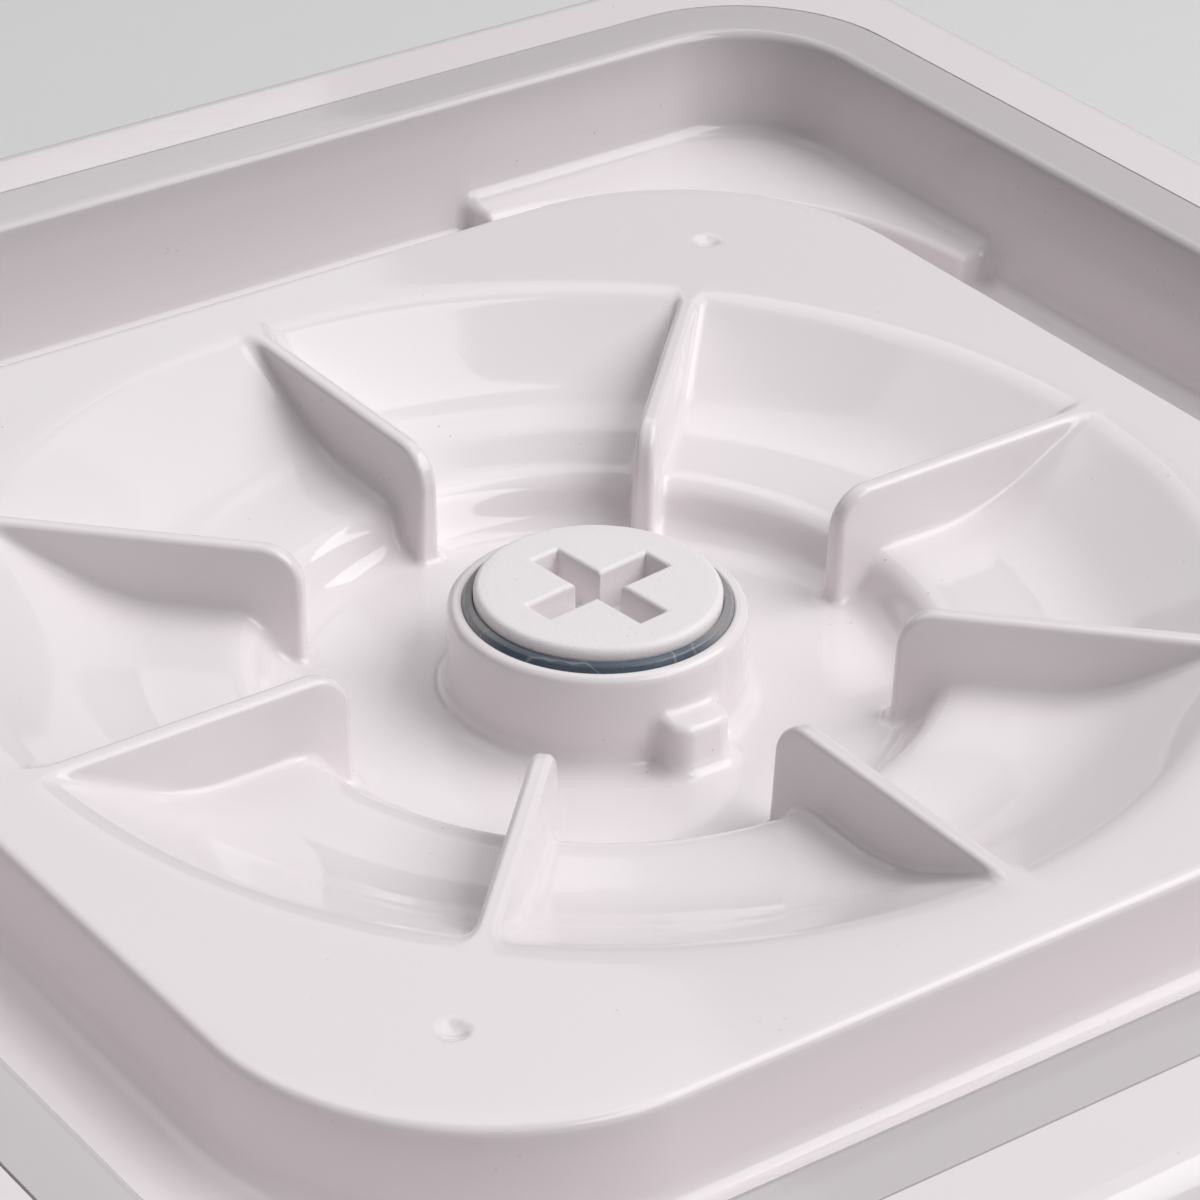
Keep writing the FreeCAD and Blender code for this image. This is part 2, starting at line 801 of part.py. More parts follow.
def housing_block(inset, low, high):
    """Outer form of the housing, or the same form moved inward by inset."""
    lean = lean_side
    slant = inset / slope_cosine
    top_half = housing_half - inset + (top_z - high) * lean
    low_half = housing_half - inset + (top_z - low) * lean
    front_high = -(housing_half + (top_z - high) * panel_slope) + slant
    knee = -front_reach + inset
    front_low = -(front_reach + (knee_z - low) * lean) + inset
    side_view = Part.Face(rounded_wire([
        (low_half, low, 0),
        (top_half, high, 0),
        (front_high, high, 0),
        (knee, knee_z, knee_r),
        (front_low, low, 0),
    ], in_side_view))
    end_view = Part.Face(rounded_wire([
        (low_half, low, 0), (top_half, high, 0), (-top_half, high, 0), (-low_half, low, 0)], in_section))
    block = moved(side_view.extrude(Vector(BIG, 0, 0)), -BIG / 2)
    block = block.common(moved(end_view.extrude(Vector(0, BIG, 0)), 0, -BIG / 2))

    def upright(edge):
        middle = edge.valueAt((edge.FirstParameter + edge.LastParameter) / 2)
        on_side = abs(abs(middle.x) - (housing_half - inset + (top_z - middle.z) * lean)) < 0.05
        return on_side and low + 0.01 < middle.z < high - 0.01

    return round_edges(block, housing_corner_r - inset, upright)


def post_places():
    """Screw posts: one in each corner and one half way along each side, about the drive axis."""
    side = housing_half - housing_corner_r + (housing_corner_r - post_inset) * 0.7071
    front = front_reach - housing_corner_r + (housing_corner_r - post_inset) * 0.7071
    middle = housing_half - housing_wall - post_r + 0.4
    corners = [(-side, side), (side, side), (-side, -front), (side, -front)]
    return corners + [(-middle, 0.0), (middle, 0.0)]


def panel_frame():
    """Place of the control panel: x along it, y up the slope, z out of the face."""
    middle = Vector(0, panel_middle_y, panel_middle_z)
    return Placement(middle, Rotation(Vector(1, 0, 0), 90 - panel_tilt))


def on_panel(shape):
    placed = shape.copy()
    placed.Placement = panel_frame().multiply(placed.Placement)
    return placed


def button_places():
    return [(-button_offset, button_spread), (-button_offset, -button_spread)]


def board_post_places():
    return four_ways(panel_board_width / 2 - panel_hole_inset_x, panel_board_height / 2 - panel_hole_inset_y)


def light_place():
    return (-button_offset + button_r * 2.2, 0.0)


def panel_openings():
    deep = panel_back - 1
    holes = [
        pad(window_width / 2, window_height / 2, window_corner_r, -window_thickness, 1),
        pad(window_width / 2 - window_ledge, window_height / 2 - window_ledge, window_corner_r / 2, deep, 1),
        disc(encoder_bushing_r, deep, 1, knob_offset, 0),
        disc(light_r, deep, 1, *light_place()),
    ]
    holes += [disc(button_r + fit_gap, deep, 1, x, y) for x, y in button_places()]
    return [on_panel(hole) for hole in holes]


def io_pocket_box(grow, deep):
    """The pocket in the back wall, or its outer skin when grown."""
    half_x = pocket_width / 2 + grow
    half_z = pocket_height / 2 + grow
    middle_z = table + pocket_centre_z
    return box(-half_x, half_x, pocket_floor_y() - deep, back_reach + 1, middle_z - half_z, middle_z + half_z)


def pocket_floor_y():
    return back_reach - pocket_depth


def vents_in_back():
    slots = []
    low = table + pocket_centre_z - vent_length / 2
    inside = housing_half - housing_wall - 1
    for side in (-1, 1):
        for index in range(vent_count):
            x = side * (pocket_width / 2 + vent_start + index * vent_pitch)
            left = x - vent_slot / 2
            slots.append(box(left, left + vent_slot, inside, back_reach + 1, low, low + vent_length))
    widest = housing_half - housing_corner_r - vent_slot
    return [slot for slot in slots if abs(slot.CenterOfMass.x) < widest]


def top_housing():
    outer = housing_block(0.0, skirt_z, top_z)
    outer = round_edges(outer, housing_edge_r, lambda edge: ends_at_height(edge, top_z))
    inner = housing_block(housing_wall, skirt_z - 5, top_z - housing_wall)
    corner = well_corner_r + flange_width + fit_gap
    mouth_half = well_top_half + tub_wall + fit_gap
    mouth_corner = well_corner_r + tub_wall + fit_gap
    ledge = pad(mouth_half + flange_width + ledge_width, mouth_half + flange_width + ledge_width,
                corner + ledge_width, rebate_z - ledge_thickness, top_z - housing_wall + overlap)
    posts = [disc(post_r, plate_top, top_z - housing_wall + overlap, x, y) for x, y in post_places()]
    board_post = disc(boss_r, panel_board_face, panel_back + overlap)
    board_posts = [on_panel(moved(board_post, x, y)) for x, y in board_post_places()]
    pocket_skin = io_pocket_box(pocket_floor, pocket_floor)
    added = [piece.common(outer) for piece in [ledge, pocket_skin] + posts + board_posts]
    body = fused(outer.cut(inner), *added)
    holes = [
        pad(flange_half + fit_gap, flange_half + fit_gap, corner, rebate_z, top_z + 1),
        pad(mouth_half, mouth_half, mouth_corner, top_z - BIG / 10, top_z + 1),
        io_pocket_box(0.0, 0.0),
        *vents_in_back(),
        *panel_openings(),
        *switch_and_inlet_holes(),
    ]
    holes += [disc(screw_r, plate_top - 1, plate_top + screw_length, x, y) for x, y in post_places()]
    holes += [disc(screw_r, rebate_z - BIG / 20, rebate_z + 1, x, y) for x, y in flange_screw_places()]
    board_hole = disc(screw_r, panel_board_face - 1, panel_board_face + panel_screw_length)
    holes += [on_panel(moved(board_hole, x, y)) for x, y in board_post_places()]
    return body.cut(holes)


def plate_outline(z, inset):
    """Plan of the housing's inside at height z, drawn inward by inset."""
    grow = (top_z - z) * lean_side
    half = housing_half + grow - inset
    front = front_reach + (knee_z - z) * lean_side - inset
    corner = housing_corner_r - inset
    return [(half, half, corner), (-half, half, corner), (-half, -front, corner), (half, -front, corner)]


def foot_places():
    back = back_reach - foot_inset
    front = front_foot - foot_inset
    side = housing_half - foot_inset
    return [(-side, back), (side, back), (-side, -front), (side, -front)]


def board_middle():
    return (-gear_distance * 1.35, -gear_distance * 0.6)


def board_screw_places():
    x, y = board_middle()
    spots = four_ways(board_length / 2 - board_hole_inset, board_width / 2 - board_hole_inset)
    return [(x + dx, y + dy) for dx, dy in spots]


def base_plate():
    """Moulded floor with a stiffening lip, board standoffs and vent slots."""
    inset = housing_wall + fit_gap
    sheet = Part.Face(rounded_wire(plate_outline(plate_under, inset), in_plan(plate_under)))
    sheet = sheet.extrude(Vector(0, 0, plate_thickness))
    lip_inset = inset + post_r * 2 + lip_room
    lip_floor = in_plan(plate_top - overlap)
    lip_run = Vector(0, 0, lip_height + overlap)
    lip_out = Part.Face(rounded_wire(plate_outline(plate_under, lip_inset), lip_floor))
    lip_in = Part.Face(rounded_wire(plate_outline(plate_under, lip_inset + lip_thickness), lip_floor))
    lip = lip_out.extrude(lip_run).cut(lip_in.extrude(lip_run))
    high = plate_top + standoff_height
    standoffs = [disc(boss_r, plate_top - overlap, high, x, y) for x, y in board_screw_places()]
    body = fused(sheet, lip, *standoffs)
    holes = [disc(screw_r, plate_under - 1, plate_top + 1, x, y) for x, y in post_places()]
    holes += [disc(screw_r, plate_top - 1, high + 1, x, y) for x, y in board_screw_places()]
    for index in range(vent_count):
        y = (index - (vent_count - 1) / 2) * vent_pitch * 1.4
        holes.append(box(gear_distance - vent_length / 2, gear_distance + vent_length / 2,
                         y - vent_slot / 2, y + vent_slot / 2, plate_under - 1, plate_top + 1))
    return body.cut(holes)


def rubber_foot():
    """Plain round foot, bonded to the base plate."""
    return disc(foot_r, table, plate_under)


# ------------------------------------------------------------------ control panel pieces

def display_window():
    half_x = window_width / 2 - window_slack
    half_y = window_height / 2 - window_slack
    return on_panel(pad(half_x, half_y, window_corner_r - window_slack, -window_thickness, window_proud))


def display_module():
    """Display with its backlight frame, standing on the panel board behind the window."""
    half_x = window_width / 2 - 1
    half_y = window_height / 2 - 1
    frame = box(-half_x, half_x, -half_y, half_y, panel_board_face, panel_back - fit_gap)
    glass_x = half_x - window_ledge - 1
    glass_y = half_y - window_ledge - 1
    glass = box(-glass_x, glass_x, -glass_y, glass_y, panel_back - 1, panel_back + overlap)
    return on_panel(fused(frame, glass))


def panel_board():
    low = panel_board_face - board_thickness
    half_x = panel_board_width / 2
    half_y = panel_board_height / 2
    board = box(-half_x, half_x, -half_y, half_y, low, panel_board_face)
    holes = [disc(screw_r, low - 1, panel_board_face + 1, x, y) for x, y in board_post_places()]
    return on_panel(board.cut(holes))


def panel_board_screws():
    low = panel_board_face - board_thickness
    return Part.makeCompound([on_panel(screw(x, y, low, panel_screw_length)) for x, y in board_post_places()])


def encoder_body():
    """Square encoder case with a threaded bushing through the panel."""
    half = encoder_size / 2
    low = panel_board_face
    high = low + encoder_height
    case = pad(half, half, 0.8, low, high)
    bushing = disc(encoder_bushing_r, high - overlap, encoder_nut_height + encoder_wall)
    shoulder = disc(half * 0.86, high - overlap, panel_back)
    chamber = disc(encoder_shaft_r + plunger_reach + 0.4, low + encoder_wall, high - encoder_wall * 2)
    bore = disc(encoder_shaft_r + running_gap, low + 1, encoder_nut_height + 1)
    return on_panel(moved(fused(case, bushing, shoulder).cut([chamber, bore]), knob_offset))


def encoder_nut():
    across = encoder_bushing_r * 1.55
    nut = Part.Face(rounded_wire(hexagon(across), in_plan(0.0))).extrude(Vector(0, 0, encoder_nut_height))
    return on_panel(moved(nut.cut(disc(encoder_bushing_r, -1, encoder_nut_height + 1)), knob_offset))


def plunger_top():
    return panel_board_face + encoder_wall + fit_gap + knob_press + plunger_thickness


def encoder_plunger():
    low = plunger_top() - plunger_thickness
    return on_panel(disc(encoder_shaft_r + plunger_reach, low, plunger_top(), knob_offset, 0))


def encoder_shaft():
    """Shaft with a collar in the encoder and a flat in the knob."""
    collar = disc(encoder_shaft_r + plunger_reach, plunger_top(), plunger_top() + plunger_thickness)
    end = knob_face - shaft_seat
    shaft = disc(encoder_shaft_r, plunger_top(), end).cut(shaft_flat(end))
    return on_panel(moved(fused(collar, shaft), knob_offset))


def control_knob():
    """Fluted knob with a bevelled face, a pointer groove and a hollow over the nut."""
    low = knob_gap + knob_press
    high = knob_face
    body = fused(disc(knob_r, low, high - knob_step), disc(knob_r - knob_step, low, high))
    half = knob_flute / 2
    flute = box(-half, half, -half, half, low - 1, high - knob_step * 2)
    flute = moved(around(flute, 45), knob_r)
    flutes = [around(flute, 360 / knob_flutes * index) for index in range(knob_flutes)]
    side = pointer_width / 2
    pointer = box(-side, side, knob_r * 0.45, knob_r + 1, high - pointer_depth, high + 1)
    nut_room = disc(encoder_bushing_r * 1.55 + 1.2, low - 1, encoder_nut_height + knob_press + 1.0)
    end = knob_face - shaft_seat
    shaft_hole = disc(encoder_shaft_r, low - 1, end).cut(shaft_flat(end))
    return on_panel(moved(body.cut(flutes + [pointer, nut_room, shaft_hole]), knob_offset))


def shaft_flat(end):
    """What the flat takes off the encoder shaft."""
    wide = encoder_shaft_r * 2
    return box(-wide, wide, encoder_shaft_r * 0.5, wide, encoder_nut_height + 3.0, end + 1)


def push_button():
    """Round button cap with a flange behind the panel and a stem into its switch."""
    flange_top = panel_back - fit_gap
    flange_low = flange_top - button_flange
    cap = disc(button_r, flange_low, button_proud)
    flange = disc(button_r + fit_gap + button_flange_reach, flange_low, flange_top)
    return fused(cap, flange, disc(button_stem_r, switch_face() - button_entry, flange_low + overlap))


def switch_face():
    return panel_board_face + switch_height


def button_switch():
    """Switch block with the well that a button's stem enters."""
    half = button_stem_r * 2
    well_low = switch_face() - button_entry - button_travel - fit_gap
    block = box(-half, half, -half, half, panel_board_face, switch_face())
    return block.cut(disc(button_stem_r + fit_gap, well_low, switch_face() + 1))


def status_light():
    """Light pipe from the board to a dot in the panel."""
    pipe = disc(light_r, panel_board_face, light_proud)
    flange = disc(light_r + light_flange, panel_back - light_flange_thickness, panel_back)
    return on_panel(moved(fused(pipe, flange), *light_place()))


# ------------------------------------------------------------------ rear connections

def on_pocket(shape, x):
    """Move a piece drawn along +Z (out of the pocket floor) to the pocket's floor."""
    placed = shape.copy()
    floor = Placement(Vector(x, pocket_floor_y(), table + pocket_centre_z), Rotation(Vector(1, 0, 0), -90))
    placed.Placement = floor.multiply(placed.Placement)
    return placed


def rocker_well(extra):
    """Space that the rocker swings in: long side along y, pivot along x."""
    half = rocker_width / 2 + extra
    round_part = Part.makeCylinder(rocker_r + extra, half * 2, Vector(-half, 0, 0), Vector(1, 0, 0))
    return fused(round_part, box(-half, half, -rocker_r - extra, rocker_r + extra, 0, BIG / 20))


def power_switch_body():
    half_x = rocker_width / 2 + fit_gap + switch_wall
    half_y = rocker_r + fit_gap + switch_wall
    rim_x = half_x + switch_rim
    rim_y = half_y + switch_rim
    low = -rocker_r - switch_wall - 1
    bezel = box(-rim_x, rim_x, -rim_y, rim_y, 0, switch_rim)
    case = box(-half_x, half_x, -half_y, half_y, low, 0.1)
    blades = [box(-0.4, 0.4, y - 2.4, y + 2.4, low - 5, low + 1) for y in (-4.5, 4.5)]
    pin_half = rocker_width / 2 + rocker_stub + running_gap * 2
    pin_foot = Vector(-pin_half, 0, 0)
    pin = Part.makeCylinder(rocker_pin_r + running_gap, pin_half * 2, pin_foot, Vector(1, 0, 0))
    return fused(bezel, case, *blades).cut([rocker_well(fit_gap), pin])


def power_rocker():
    """Rocker with two sloping faces on a round belly, at rest in its off position."""
    half = rocker_width / 2
    belly = Part.makeCylinder(rocker_r, rocker_width, Vector(-half, 0, 0), Vector(1, 0, 0))
    rise = rocker_proud + rocker_dip
    reach = math.sqrt(rocker_r ** 2 - rise ** 2)
    side = Part.Face(rounded_wire([
        (-reach, -rocker_r - 1, 0),
        (reach, -rocker_r - 1, 0),
        (reach, rise, 0),
        (0, rocker_dip, 2.0),
        (-reach, rise, 0),
    ], in_side_view))
    block = moved(side.extrude(Vector(rocker_width, 0, 0)), -half)
    stub_end = Vector(-half - rocker_stub, 0, 0)
    stubs = Part.makeCylinder(rocker_pin_r, rocker_width + rocker_stub * 2, stub_end, Vector(1, 0, 0))
    rocker = fused(belly.common(block), stubs)
    rocker.rotate(Vector(), Vector(1, 0, 0), -rocker_swing)
    return rocker


def dc_inlet():
    """Panel jack: flange outside, threaded barrel through the wall."""
    body = turned([
        (0, -inlet_length, 0),
        (inlet_barrel_r, -inlet_length, 0),
        (inlet_barrel_r, 0, 0),
        (inlet_flange_r, 0, 0),
        (inlet_flange_r, inlet_flange, 0),
        (inlet_bore_r, inlet_flange, 0),
        (inlet_bore_r, -inlet_depth, 0),
        (0, -inlet_depth, 0),
    ])
    root = -inlet_depth - inlet_pin_root
    tags = [box(x - 0.3, x + 0.3, -1.4, 1.4, -inlet_length - 3.5, -inlet_length + 0.5) for x in (-2.0, 2.0)]
    return fused(body, *tags).cut(disc(inlet_pin_r, root, 0))


def dc_inlet_pin():
    return disc(inlet_pin_r, -inlet_depth - inlet_pin_root, 0.2)


def dc_inlet_nut():
    across = inlet_barrel_r * 1.6
    low = -pocket_floor - inlet_nut_height
    nut = Part.Face(rounded_wire(hexagon(across), in_plan(low))).extrude(Vector(0, 0, inlet_nut_height))
    return nut.cut(disc(inlet_barrel_r, low - 1, low + inlet_nut_height + 1))


def switch_and_inlet_holes():
    half_x = rocker_width / 2 + fit_gap + switch_wall
    half_y = rocker_r + fit_gap + switch_wall
    window = box(-half_x, half_x, -half_y, half_y, -BIG / 20, 1)
    return [on_pocket(window, switch_offset), on_pocket(disc(inlet_barrel_r, -BIG / 20, 1), inlet_offset)]


# ------------------------------------------------------------------ control board

def board_level():
    return plate_top + standoff_height


def control_board():
    x, y = board_middle()
    low = board_level()
    high = low + board_thickness
    half_x = board_length / 2
    half_y = board_width / 2
    board = box(x - half_x, x + half_x, y - half_y, y + half_y, low, high)
    return board.cut([disc(screw_r, low - 1, high + 1, sx, sy) for sx, sy in board_screw_places()])


def board_screws():
    screws = []
    for x, y in board_screw_places():
        upside = screw(0, 0, 0.0, standoff_height)
        upside.rotate(Vector(), Vector(1, 0, 0), 180)
        screws.append(moved(upside, x, y, board_level() + board_thickness))
    return Part.makeCompound(screws)


def board_connectors():
    """Row of wire headers along the board's rear edge."""
    x, y = board_middle()
    low = board_level() + board_thickness
    high = low + header_height
    middle_y = y + board_width / 2 - header_depth
    half_y = header_depth / 2
    inner_y = half_y - header_wall
    headers = []
    for index, width in enumerate(header_widths):
        half = width / 2
        inner = half - header_wall
        shell = box(-half, half, -half_y, half_y, low, high)
        hollow = box(-inner, inner, -inner_y, inner_y, low + header_wall, high + 1)
        headers.append(moved(shell.cut(hollow), x + (index - 1) * header_pitch, middle_y))
    return Part.makeCompound(headers)


def board_capacitors():
    """Three upright capacitors beside the board's edge, the last one smaller."""
    x, y = board_middle()
    low = board_level() + board_thickness
    row_x = x - board_length / 2 + capacitor_r * 2.4
    pitch = capacitor_r * 2.8
    row_y = y - board_width / 4
    sizes = (1.0, 1.0, 0.64)
    cans = []
    for index, size in enumerate(sizes):
        high = low + capacitor_height * size
        cans.append(disc(capacitor_r * size, low, high, row_x + index * pitch, row_y))
    return Part.makeCompound(cans)


def driver_heatsink():
    x, y = board_middle()
    low = board_level() + board_thickness
    x0 = x + board_length / 2 - heatsink_length - boss_r * 3
    y0 = y - heatsink_length / 2
    pitch = (heatsink_length - heatsink_fin) / (heatsink_fins - 1)
    base = box(x0, x0 + heatsink_length, y0, y0 + heatsink_length, low, low + heatsink_base)
    fins = [box(x0, x0 + heatsink_length, y0 + pitch * index, y0 + pitch * index + heatsink_fin,
                low + heatsink_base / 2, low + heatsink_height) for index in range(heatsink_fins)]
    return fused(base, *fins)


# ------------------------------------------------------------------ writing

def screws_under(places, seat_z, length=screw_length):
    return Part.makeCompound([screw(x, y, seat_z, length) for x, y in places])


def write(name, shape):
    placed = moved(shape, 0, axis_y, deck_height)
    placed.exportStep("parts/" + name + ".step")


def main():
    os.makedirs("parts", exist_ok=True)
    upper_outer, upper_inner = bearing_rings(
        disc_neck_r, upper_bearing_r, upper_bearing_z, upper_bearing_height)
    lower_outer, lower_inner = bearing_rings(
        spindle_r, lower_bearing_r, lower_bearing_z, lower_bearing_height)
    button = push_button()
    (start_x, start_y), (mode_x, mode_y) = button_places()
    write("top_housing", top_housing())
    write("well_tray", well_tray())
    write("deck_plate", deck_plate())
    write("recess_ribs", recess_ribs())
    write("base_plate", base_plate())
    write("rubber_feet", Part.makeCompound([moved(rubber_foot(), x, y) for x, y in foot_places()]))
    write("case_screws", screws_under(post_places(), plate_under, screw_length))
    flange_bite = flange_screw_end - rebate_z + ledge_thickness
    write("tray_screws", screws_under(flange_screw_places(), rebate_z - ledge_thickness, flange_bite))
    write("hub_seal", hub_seal())
    write("drive_disc", drive_disc())
    write("disc_magnets", disc_magnets())
    write("drive_spindle", drive_spindle())
    write("spindle_clip", spindle_clip())
    write("spindle_gear", spindle_gear())
    write("gear_grub_screw", gear_grub_screw())
    write("upper_bearing_outer", upper_outer)
    write("upper_bearing_inner", upper_inner)
    write("lower_bearing_outer", lower_outer)
    write("lower_bearing_inner", lower_inner)
    write("motor_bracket", motor_bracket())
    write("bracket_screws", screws_under(bracket_posts(), motor_face, screw_length))
    write("motor_can", motor_can())
    write("motor_screws", motor_screws())
    write("motor_end_cap", motor_end_cap())
    write("motor_shaft", motor_shaft())
    write("motor_pinion", motor_pinion())
    write("display_window", display_window())
    write("display_module", display_module())
    write("panel_board", panel_board())
    write("panel_board_screws", panel_board_screws())
    write("encoder_body", encoder_body())
    write("encoder_nut", encoder_nut())
    write("encoder_plunger", encoder_plunger())
    write("encoder_shaft", encoder_shaft())
    write("control_knob", control_knob())
    write("start_button", on_panel(moved(button, start_x, start_y)))
    write("mode_button", on_panel(moved(button, mode_x, mode_y)))
    switches = [on_panel(moved(button_switch(), x, y)) for x, y in button_places()]
    write("button_switches", Part.makeCompound(switches))
    write("status_light", status_light())
    write("power_switch_body", on_pocket(power_switch_body(), switch_offset))
    write("power_rocker", on_pocket(power_rocker(), switch_offset))
    write("dc_inlet", on_pocket(dc_inlet(), inlet_offset))
    write("dc_inlet_pin", on_pocket(dc_inlet_pin(), inlet_offset))
    write("dc_inlet_nut", on_pocket(dc_inlet_nut(), inlet_offset))
    write("control_board", control_board())
    write("board_screws", board_screws())
    write("board_connectors", board_connectors())
    write("board_capacitors", board_capacitors())
    write("driver_heatsink", driver_heatsink())


main()
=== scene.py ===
import json
import math

import bmesh
import bpy
import numpy as np
from mathutils import Matrix, Vector


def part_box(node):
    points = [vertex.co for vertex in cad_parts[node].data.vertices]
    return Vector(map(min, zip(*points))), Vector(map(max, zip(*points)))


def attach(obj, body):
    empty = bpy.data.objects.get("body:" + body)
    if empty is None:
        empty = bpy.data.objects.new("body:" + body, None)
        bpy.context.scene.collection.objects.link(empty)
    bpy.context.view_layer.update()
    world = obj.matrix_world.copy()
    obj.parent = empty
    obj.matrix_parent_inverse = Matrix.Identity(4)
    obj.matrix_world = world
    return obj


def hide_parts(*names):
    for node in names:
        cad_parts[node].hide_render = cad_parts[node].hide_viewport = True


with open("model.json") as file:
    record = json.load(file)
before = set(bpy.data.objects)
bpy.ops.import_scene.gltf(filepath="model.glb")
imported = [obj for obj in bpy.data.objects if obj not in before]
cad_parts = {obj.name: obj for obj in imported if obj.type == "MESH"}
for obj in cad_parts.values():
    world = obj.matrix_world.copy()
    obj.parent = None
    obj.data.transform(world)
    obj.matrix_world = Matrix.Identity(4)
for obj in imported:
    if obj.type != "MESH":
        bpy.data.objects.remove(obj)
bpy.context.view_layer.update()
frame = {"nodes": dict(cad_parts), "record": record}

# ------------------------------------------------------------------ sizes, in mm
# Plan positions are measured from the drive axis and heights from the deck face.

MM = 0.001
disc_low, disc_high = (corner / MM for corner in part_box("drive_disc"))
tub_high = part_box("well_tray")[1] / MM

disc_r = (disc_high.x - disc_low.x) / 2
axis_y = (disc_high.y + disc_low.y) / 2
disc_sink = 0.9
deck_z = disc_high.z + disc_sink
rim_rise = tub_high.z - deck_z
drive_top = np.array([0.0, axis_y, deck_z])     # the drive axis at the deck, in the row frame

seal_gap = 1.2
collar_inner_r = disc_r + seal_gap
collar_wall = 1.7
collar_sink = 3.0
collar_edge_r = 1.1
collar_lip_r = 0.45
hub_r = collar_inner_r + collar_wall
bore_end = -9.0
key_width = 7.5
key_reach = 3.6
key_sink = 8.2
key_edge_r = 1.2

floor_r = hub_r + 18.4
floor_depth = 14.0
floor_fillet = 2.0
step_r = floor_r + 3.4
mid_depth = 8.5
step_edge_r = 1.6
mid_r = step_r + 15.3
cone_foot_r = 2.4
rim_r = mid_r + 16.3
rim_edge_r = 0.9
rim_edge_near = 1.5         # between these distances from a rib the edge's rounding goes
rim_edge_far = 6.0          # from the rib's to the rim's

rib_count = 8
rib_half = 1.15
rib_nose = hub_r + 16.4
rib_nose_r = 4.6
rib_edge_r = 0.8
rib_foot_r = 1.3
rib_switch = mid_r + 4.0    # where ribs pass from their own top to the deck's
draft = math.tan(math.radians(1.2))

deck_half = rim_r + 10.0
deck_corner_r = 31.5
deck_centre = deck_half - deck_corner_r     # where the arcs of its corners are centred
deck_edge_r = 1.1
channel_depth = 12.0
channel_foot_r = 2.4
well_half = deck_half + 18.5
well_corner_r = 14.0
well_lean = 1.9
well_slope = well_lean / (channel_depth + rim_rise)
rim_lip_r = 1.3
flange_half = tub_high.x
flange_corner_r = well_corner_r + 8.0
flange_edge_r = 0.35
flange_depth = 2.6
pad_height = 4.3
pad_start = 50.0
pad_arc_r = 45.0
pad_edge_r = 1.5
pad_corner_r = 1.0
pad_foot_r = 0.8
dimple_place = deck_half * 0.75
dimple_r = 1.65
dimple_depth = 0.6
dimple_edge_r = 0.25

disc_edge_r = 0.8
disc_thickness = 6.5
disc_top = -disc_sink
disc_low_edge = 0.1
neck_r = 6.0
cross_reach = 8.6
cross_half = 1.7
cross_depth = 5.3
cross_turn = math.radians(6.5)
cross_edge_r = 0.55

seal_in = disc_r + 0.08
seal_out = collar_inner_r + 0.02
seal_lip = 0.27
seal_top = -2.2
seal_drop = 0.6
seal_foot = seal_top - 3.0

knob_r = 12.5
knob_face_r = knob_r - 1.6
knob_low = 1.8
knob_high = 11.3
knob_flutes = 20
knob_flute = 0.9            # how deep each flute is
knob_dish = 0.5
knob_hollow_r = 7.4
knob_hollow = 3.6
shaft_hole_r = 3.05
shaft_hole = 8.35
pointer_half = 0.75
pointer_depth = 0.8
pointer_start = 5.6
button_places = {"start_button": (-108.0, 11.0), "mode_button": (-108.0, -11.0)}
button_r = 5.6
button_face_r = button_r - 0.9
button_proud = 1.6
button_dish = 0.35
button_flange = 7.1
flange_top = -3.3
flange_low = -4.3
stem_r = 1.5
stem_end = -10.6
foot_r = 9.0
foot_pad = 6.6
foot_ring = 6.2
foot_hollow_r = 5.6
foot_hollow = 0.8


def sin_of(degrees):
    return math.sin(math.radians(degrees))


def cos_of(degrees):
    return math.cos(math.radians(degrees))


# ------------------------------------------------------------------ solids as distances
# Each function gives how far a point lies outside a solid; the surface is where it is zero.

def meet(a, b, radius):
    """The part that two solids share, with the ridge between them rounded."""
    rounded = np.hypot(np.maximum(a + radius, 0), np.maximum(b + radius, 0))
    return np.minimum(np.maximum(a, b), -radius) + rounded


def join(a, b, radius):
    """Two solids together, with a fillet in the corner between them."""
    rounded = np.hypot(np.maximum(radius - a, 0), np.maximum(radius - b, 0))
    return np.maximum(np.minimum(a, b), radius) - rounded


def ease(value, low, high):
    """0 below low and 1 above high, with a smooth climb between."""
    share = np.clip((value - low) / (high - low), 0, 1)
    return share * share * (3 - 2 * share)


def under_slope(r, z, r0, z0, r1, z1):
    """Solid under the line that climbs from (r0, z0) to (r1, z1)."""
    length = math.hypot(r1 - r0, z1 - z0)
    return ((z - z0) * (r1 - r0) - (r - r0) * (z1 - z0)) / length


def in_square(x, y, half, corner):
    """Distance outside a square with round corners."""
    over_x = np.abs(x) - half + corner
    over_y = np.abs(y) - half + corner
    outside = np.hypot(np.maximum(over_x, 0), np.maximum(over_y, 0))
    return outside + np.minimum(np.maximum(over_x, over_y), 0) - corner


def recess_solid(r, z):
    """The turned ground of the recess: floor, riser, step and cone, not cut off at the deck."""
    riser = under_slope(r, z, floor_r, -floor_depth, step_r, -mid_depth)
    cone = under_slope(r, z, mid_r, -mid_depth, rim_r, 0)
    upper = join(z + mid_depth, cone, cone_foot_r)
    return join(z + floor_depth, meet(riser, upper, step_edge_r), floor_fillet)


def recess_depth(r):
    """Depth of the recess's ground at a radius, without fillets."""
    return -np.interp(r, [floor_r, step_r, mid_r, rim_r], [-floor_depth, -mid_depth, -mid_depth, 0])


def on_rib(x, y):
    """The plan folded onto one rib: distances along it and across it."""
    step = 2 * math.pi / rib_count
    r = np.hypot(x, y)
    angle = np.arctan2(y, x)
    angle = angle - np.round(angle / step) * step
    return r * np.cos(angle), np.abs(r * np.sin(angle))


def key_solid(x, y, z):
    """The nub at the front of the hub."""
    side = np.abs(x) - key_width / 2 + z * draft
    front = -y - hub_r - key_reach + z * draft
    return np.maximum(meet(meet(side, front, key_width / 3), z + key_sink, key_edge_r), y)


